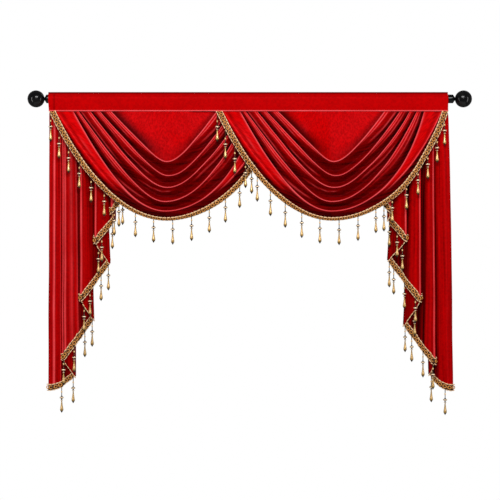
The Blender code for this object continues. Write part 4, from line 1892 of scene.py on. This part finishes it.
# The small shapes, as (distance along, radius) pairs in millimetres.
DROP_PROFILE = (
    (-1.5, 1.5), (10.0, 1.5), (10.6, 2.2), (13.5, 3.0), (16.4, 2.2), (17.0, 1.5), (27.0, 1.5),
    (27.6, 2.0), (29.5, 2.8), (31.2, 3.6), (32.4, 6.6), (33.3, 7.6), (36.3, 7.6), (37.2, 6.6),
    (38.4, 3.4), (41.5, 2.4), (43.2, 1.8), (43.8, 4.2), (44.6, 5.2), (45.6, 4.2), (46.2, 2.0),
    (50.0, 2.1), (55.0, 2.6), (62.0, 3.4), (69.0, 4.5), (74.5, 5.6), (78.5, 6.2), (81.5, 6.3),
    (84.0, 5.6), (85.0, 4.8), (88.5, 2.6), (92.0, 0.5),
)


CORD_PROFILE = ((-6.6, 0.8), (-5.6, 1.8), (0.0, 2.1), (5.6, 1.8), (6.6, 0.8))
KNOT_PROFILE = ((-7.5, 0.5), (-5.5, 1.0), (0.0, 0.7), (5.5, 1.0), (7.5, 0.5))
STITCH_PROFILE = ((-1.5, 0.1), (-1.0, 0.35), (1.0, 0.35), (1.5, 0.1))


def torus_mesh(name: str, major: float, minor: float, stretch: float) -> bpy.types.Mesh:
    """A ring lying flat, drawn out along X.

    Args:
        name: the mesh's name.
        major: the ring's radius.
        minor: its thread's radius.
        stretch: how many times longer than wide it is.

    Returns:
        A closed mesh.
    """
    points, faces, around, about = [], [], 14, 6
    for i in range(around):
        for j in range(about):
            angle, roll = 2 * math.pi * i / around, 2 * math.pi * j / about
            reach, z = major + minor * math.cos(roll), minor * math.sin(roll)
            points.append((stretch * reach * math.cos(angle), reach * math.sin(angle), z))
            a, b = i * about + j, i * about + (j + 1) % about
            c = ((i + 1) % around) * about
            faces.append((a, c + j, c + (j + 1) % about, b))
    return smooth_mesh(name, points, faces)


def small_shapes() -> dict[str, bpy.types.Object]:
    """Makes the small shapes that the trees copy.

    Returns:
        The shapes by name, which are removed before the end.
    """
    along, slant = Vector((1, 0, 0)), Vector((math.cos(0.9), math.sin(0.9), 0))
    shapes = {}
    for word, profile, sides, axis in (
        ("drop", DROP_PROFILE, 12, Vector((0, 0, -1))),
        ("dash", CORD_PROFILE, 6, along),
        ("knot", KNOT_PROFILE, 5, slant),
        ("stitch", STITCH_PROFILE, 5, along),
    ):
        mesh = turned(word, [(d * MM, r * MM) for d, r in profile], sides, axis)
        shapes[word] = new_piece(f"{word}_shape", mesh)
    shapes["ring"] = new_piece("ring_shape", torus_mesh("ring", 5.3 * MM, 1.7 * MM, 1.25))
    return shapes


@dataclass
class Finial:
    """One finial: a collar against the rod's end, a thin neck and a ball.

    Attributes:
        side: which finial it is.
        start: how far from the rod's middle it starts.
        collar_radius: the collar's radius.
        collar_end: where the collar ends.
        bevel: the size of the collar's rounded edges.
        neck_radius: the neck's radius.
        neck_start: where the neck starts.
        ball_radius: the ball's radius.
        ball_centre: where the ball's middle is.
        sides: faces round it.
    """

    side: Side
    start: float = 745.8 * MM
    collar_radius: float = 16.3 * MM
    collar_end: float = 766.0 * MM
    bevel: float = 1.2 * MM
    neck_radius: float = 6.0 * MM
    neck_start: float = 771.0 * MM
    ball_radius: float = 32.0 * MM
    ball_centre: float = 804.6 * MM
    sides: int = 48

    def profile(self) -> list[tuple[float, float]]:
        """Sets out the finial's outline.

        Returns:
            (distance from the rod's middle, radius) pairs.
        """
        made = [
            (self.start, self.collar_radius - self.bevel),
            (self.start + self.bevel * 0.4, self.collar_radius - self.bevel * 0.3),
            (self.start + self.bevel, self.collar_radius),
            (self.collar_end - self.bevel, self.collar_radius),
            (self.collar_end, self.collar_radius - self.bevel),
            (self.neck_start, self.neck_radius + 1.5 * MM),
            (self.neck_start + 1.0 * MM, self.neck_radius),
        ]
        first = math.asin(self.neck_radius / self.ball_radius)
        for angle in np.linspace(first, math.radians(178), 28):
            along, out = self.ball_radius * math.cos(angle), self.ball_radius * math.sin(angle)
            made.append((self.ball_centre - along, out))
        return made

    def build(self, lacquer: bpy.types.Material) -> bpy.types.Object:
        """Makes the finial.

        Args:
            lacquer: its material.

        Returns:
            The new object.
        """
        sign = -1 if self.side is Side.LEFT else 1
        mesh = turned("finial", self.profile(), self.sides, Vector((sign, 0, 0)))
        mesh.set_sharp_from_angle(angle=math.radians(35))
        mesh.materials.append(lacquer)
        return new_piece(f"finial_turned_{self.side.value}", mesh)


# Light and camera.


@dataclass
class Studio:
    """Plain soft light, a pale floor and the camera at the photograph's angle.

    Attributes:
        floor_z: the floor's height.
        floor_front: how far in front of the rod the floor reaches.
        floor_back: how far behind it.
        floor_side: how far to each side.
        camera_place: where the camera is.
        surround: how strongly the white surround lights the cloth.
    """

    floor_z: float = -1.66
    floor_front: float = -1.6
    floor_back: float = 0.55
    floor_side: float = 1.6
    camera_place: tuple = (0.001, -5.23, -0.569)
    surround: float = 0.16

    def light(self, name: str, place: tuple, aim: tuple, size: tuple, power: float) -> None:
        """Adds a rectangular area light.

        Args:
            name: the light's name.
            place: where it is.
            aim: the point that it faces.
            size: its width and height in metres.
            power: its power in watts.
        """
        lamp = bpy.data.lights.new(name, "AREA")
        lamp.shape = "RECTANGLE"
        lamp.size, lamp.size_y = size
        lamp.energy = power
        holder = bpy.data.objects.new(name, lamp)
        holder.location = place
        direction = Vector(aim) - Vector(place)
        holder.rotation_euler = direction.to_track_quat("-Z", "Y").to_euler()
        bpy.context.scene.collection.objects.link(holder)

    def build(self) -> None:
        """Makes the floor, the lights, the world and the camera."""
        floor = bpy.data.meshes.new("floor")
        side, front, back = self.floor_side, self.floor_front, self.floor_back
        corners = [(-side, front), (side, front), (side, back), (-side, back)]
        floor.from_pydata([(x, y, self.floor_z) for x, y in corners], [], [(0, 1, 2, 3)])
        make = NodeMaker("pale_floor")
        grain = make.noise(make.object_point(), 30.0)
        rough = make.span(grain, 0, 1, 0.6, 0.8)
        floor.materials.append(make.finish(Base_Color=(0.82, 0.82, 0.81), Roughness=rough))
        new_piece("floor", floor)
        self.light("key", (0.0, -2.6, 1.2), (0, 0, -0.4), (1.8, 0.7), 66)
        self.light("front", (0.0, -4.6, 0.6), (0, 0, -0.5), (1.2, 0.8), 12)
        self.light("left_strip", (-2.0, -0.9, -0.4), (-0.4, 0, -0.6), (0.12, 1.8), 9)
        self.light("right_strip", (2.0, -0.9, -0.4), (0.4, 0, -0.6), (0.12, 1.8), 9)
        self.world()
        lens = bpy.data.cameras.new("camera")
        lens.lens = 100
        lens.sensor_width = 36
        camera = bpy.data.objects.new("camera", lens)
        camera.location = self.camera_place
        camera.rotation_euler = (math.pi / 2, 0, 0)
        bpy.context.scene.collection.objects.link(camera)
        bpy.context.scene.camera = camera

    def world(self) -> None:
        """A white surround that lights the cloth softly."""
        world = bpy.data.worlds.new("white_surround")
        world.use_nodes = True
        tree = world.node_tree
        tree.nodes.clear()
        seen, lit = (tree.nodes.new("ShaderNodeBackground") for _ in range(2))
        for background, strength in ((seen, 1.0), (lit, self.surround)):
            background.inputs["Color"].default_value = (1, 1, 1, 1)
            background.inputs["Strength"].default_value = strength
        ray = tree.nodes.new("ShaderNodeLightPath")
        mix = tree.nodes.new("ShaderNodeMixShader")
        out = tree.nodes.new("ShaderNodeOutputWorld")
        tree.links.new(ray.outputs["Is Camera Ray"], mix.inputs[0])
        tree.links.new(lit.outputs[0], mix.inputs[1])
        tree.links.new(seen.outputs[0], mix.inputs[2])
        tree.links.new(mix.outputs[0], out.inputs[0])
        bpy.context.scene.world = world
        bpy.context.scene.view_settings.view_transform = "Standard"


# The finishes.
VELVETS = {
    "band": Velvet("red_velvet_band", figure=0.45),
    "swag": Velvet("red_velvet_swag"),
    "tail": Velvet("red_velvet_tail", figure=0.5, streaks=0.42, across_folds=(1.0, 0.02, 1.0)),
}
THREADS = {
    "weave": GimpThread("gimp_weave", (0.018, 0.004, 0.001), (0.11, 0.032, 0.006)),
    "cord": GimpThread("gimp_cord", (1.0, 0.50, 0.23), (1.0, 0.78, 0.48), metal=0.0),
    "ring": GimpThread("gimp_ring", (0.40, 0.13, 0.016), (0.95, 0.42, 0.08), metal=0.0),
    "knot": GimpThread("gimp_knot", (0.10, 0.026, 0.004), (0.36, 0.12, 0.015)),
    "stitch": GimpThread("red_stitch", (0.16, 0.001, 0.003), (0.40, 0.002, 0.006), metal=0.0),
}
# How much lower each drop of a swag hangs than its edge, in millimetres, from the left, and how far
# forward the right swag's first drops lean.
SWAG_STRINGS = {
    Side.LEFT: (16, 17, 9, 8, 5, 4, -3, -1, -3, 0, 0, -3, -3, -10, -8, -6, -5, -4),
    Side.RIGHT: (19, 24, 16, 8, 2, 3, 0, 2, 0, 2, 0, -2, -2, -2, 0, 2, 3, 4),
}
RIGHT_SWAG_LEANS = (12, 8, 4)
# The same two for a tail's drops, the lean for those on the hem behind a fold.
TAIL_STRING = 5 * MM
TAIL_LEAN = 3 * MM


def drop_points(
    strip: np.ndarray, known: np.ndarray | range, places: np.ndarray, strings: np.ndarray
) -> np.ndarray:
    """Where drops hang along a braid's lower edge.

    Args:
        strip: the cloth under the braid, from its lower edge up.
        known: the places of the edge's points.
        places: the drops' places.
        strings: how much lower each hangs.

    Returns:
        One point for each drop, in front of the cloth.
    """
    out = unit(resampled(sheet_normals(strip)[0], known, places))
    return resampled(strip[0], known, places) + out * DROP_LIFT - np.outer(strings, (0, 0, 1))


def swag_drops(strip: np.ndarray, side: Side) -> tuple[np.ndarray, np.ndarray, np.ndarray]:
    """Where drops hang along a swag's lower edge.

    Args:
        strip: the cloth under the braid.
        side: which swag it is.

    Returns:
        The drops' points, how far each leans forward, and its string.
    """
    lengths = lengths_along(strip[0])
    strings = np.array(SWAG_STRINGS[side]) * MM
    spacing = lengths[-1] / len(strings)
    places = np.linspace(0.1 * spacing, lengths[-1] - 0.5 * spacing, len(strings))
    leans = np.zeros(len(strings))
    if side is Side.RIGHT:
        leans[:3] = np.array(RIGHT_SWAG_LEANS) * MM
    return drop_points(strip, lengths, places, strings), leans, strings


def tail_drops(tail: Tail, strip: np.ndarray) -> tuple[np.ndarray, np.ndarray, np.ndarray]:
    """Where drops hang along a tail's hem.

    Args:
        tail: the tail.
        strip: the cloth under its braid.

    Returns:
        The drops' points, how far each leans forward, and its string.
    """
    known = [section.fold + section.share for section in tail.sections()]
    places, leans = [], []
    for fold, pleat in enumerate(tail.pleats):
        for share in pleat.drops:
            places.append(np.interp(fold + share, known, range(len(known))) * tail.steps)
            leans.append(TAIL_LEAN if fold % 2 else 0.0)
    strings = np.full(len(leans), TAIL_STRING)
    points = drop_points(strip, range(strip.shape[1]), np.array(places), strings)
    return points, np.array(leans), strings


def main() -> None:
    """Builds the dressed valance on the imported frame."""
    logging.basicConfig(level=logging.INFO, format="%(message)s")
    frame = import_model()
    velvets = {word: velvet.material() for word, velvet in VELVETS.items()}
    lacquer = Lacquer().material()
    gold = BeadGold().material()
    finishes = {word: thread.material() for word, thread in THREADS.items()}
    trees = {"path": RowTree("along_path").along_path(), "hang": RowTree("hanging").hanging()}
    shapes = small_shapes()

    Studio().build()
    rod = frame["nodes"]["rod"]
    rod.data.materials.clear()
    rod.data.materials.append(lacquer)
    for side in Side:
        finial = Finial(side).build(lacquer)
        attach(finial, "root")
        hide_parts(f"finial_{side.value}")
        LOG.info("%s", finial.name)

    band = RodPocket()
    pocket = band.build(velvets["band"])
    stitches = trees["path"].make(
        "pocket_stitches", band.stitch_path(), Shape=shapes["stitch"], Finish=finishes["stitch"],
        Pitch=4.5 * MM,
    )
    for piece in (pocket, stitches):
        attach(piece, "root")
    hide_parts("rod_pocket")
    LOG.info("%s", pocket.name)

    swags = [
        Swag(Side.LEFT, -321.0 * MM, broad_fold_shade=(0.18, 0.22)),
        Swag(Side.RIGHT, 310.0 * MM, lean=-9 * MM, drawn_in=9 * MM),
    ]
    tails = [
        Tail(Side.LEFT, LEFT_PLEATS, POCKET_LEFT, 1, recess_shade=0.30),
        Tail(Side.RIGHT, RIGHT_PLEATS, POCKET_RIGHT, -1, sag=18 * MM),
    ]
    for kind, parts in (("swag", swags), ("tail", tails)):
        for part in parts:
            cloth = part.build(velvets[kind])
            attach(cloth, "root")
            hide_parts(f"{kind}_{part.side.value}")
            strip = part.strip()
            braid = GimpBraid(f"{kind}_braid_{part.side.value}", strip)
            pieces = braid.build(trees, shapes, finishes)
            hung = swag_drops(strip, part.side) if kind == "swag" else tail_drops(part, strip)
            drops = BeadDrops(f"{kind}_drops_{part.side.value}", *hung).build(trees, shapes, gold)
            for piece in (*pieces, drops):
                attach(piece, "root")
            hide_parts(f"fringe_{kind}_{part.side.value}")
            LOG.info("%s: %d braid pieces, %d drops", cloth.name, len(pieces), len(hung[0]))

    for shape in shapes.values():
        bpy.data.objects.remove(shape)


if __name__ == "__main__":
    main()
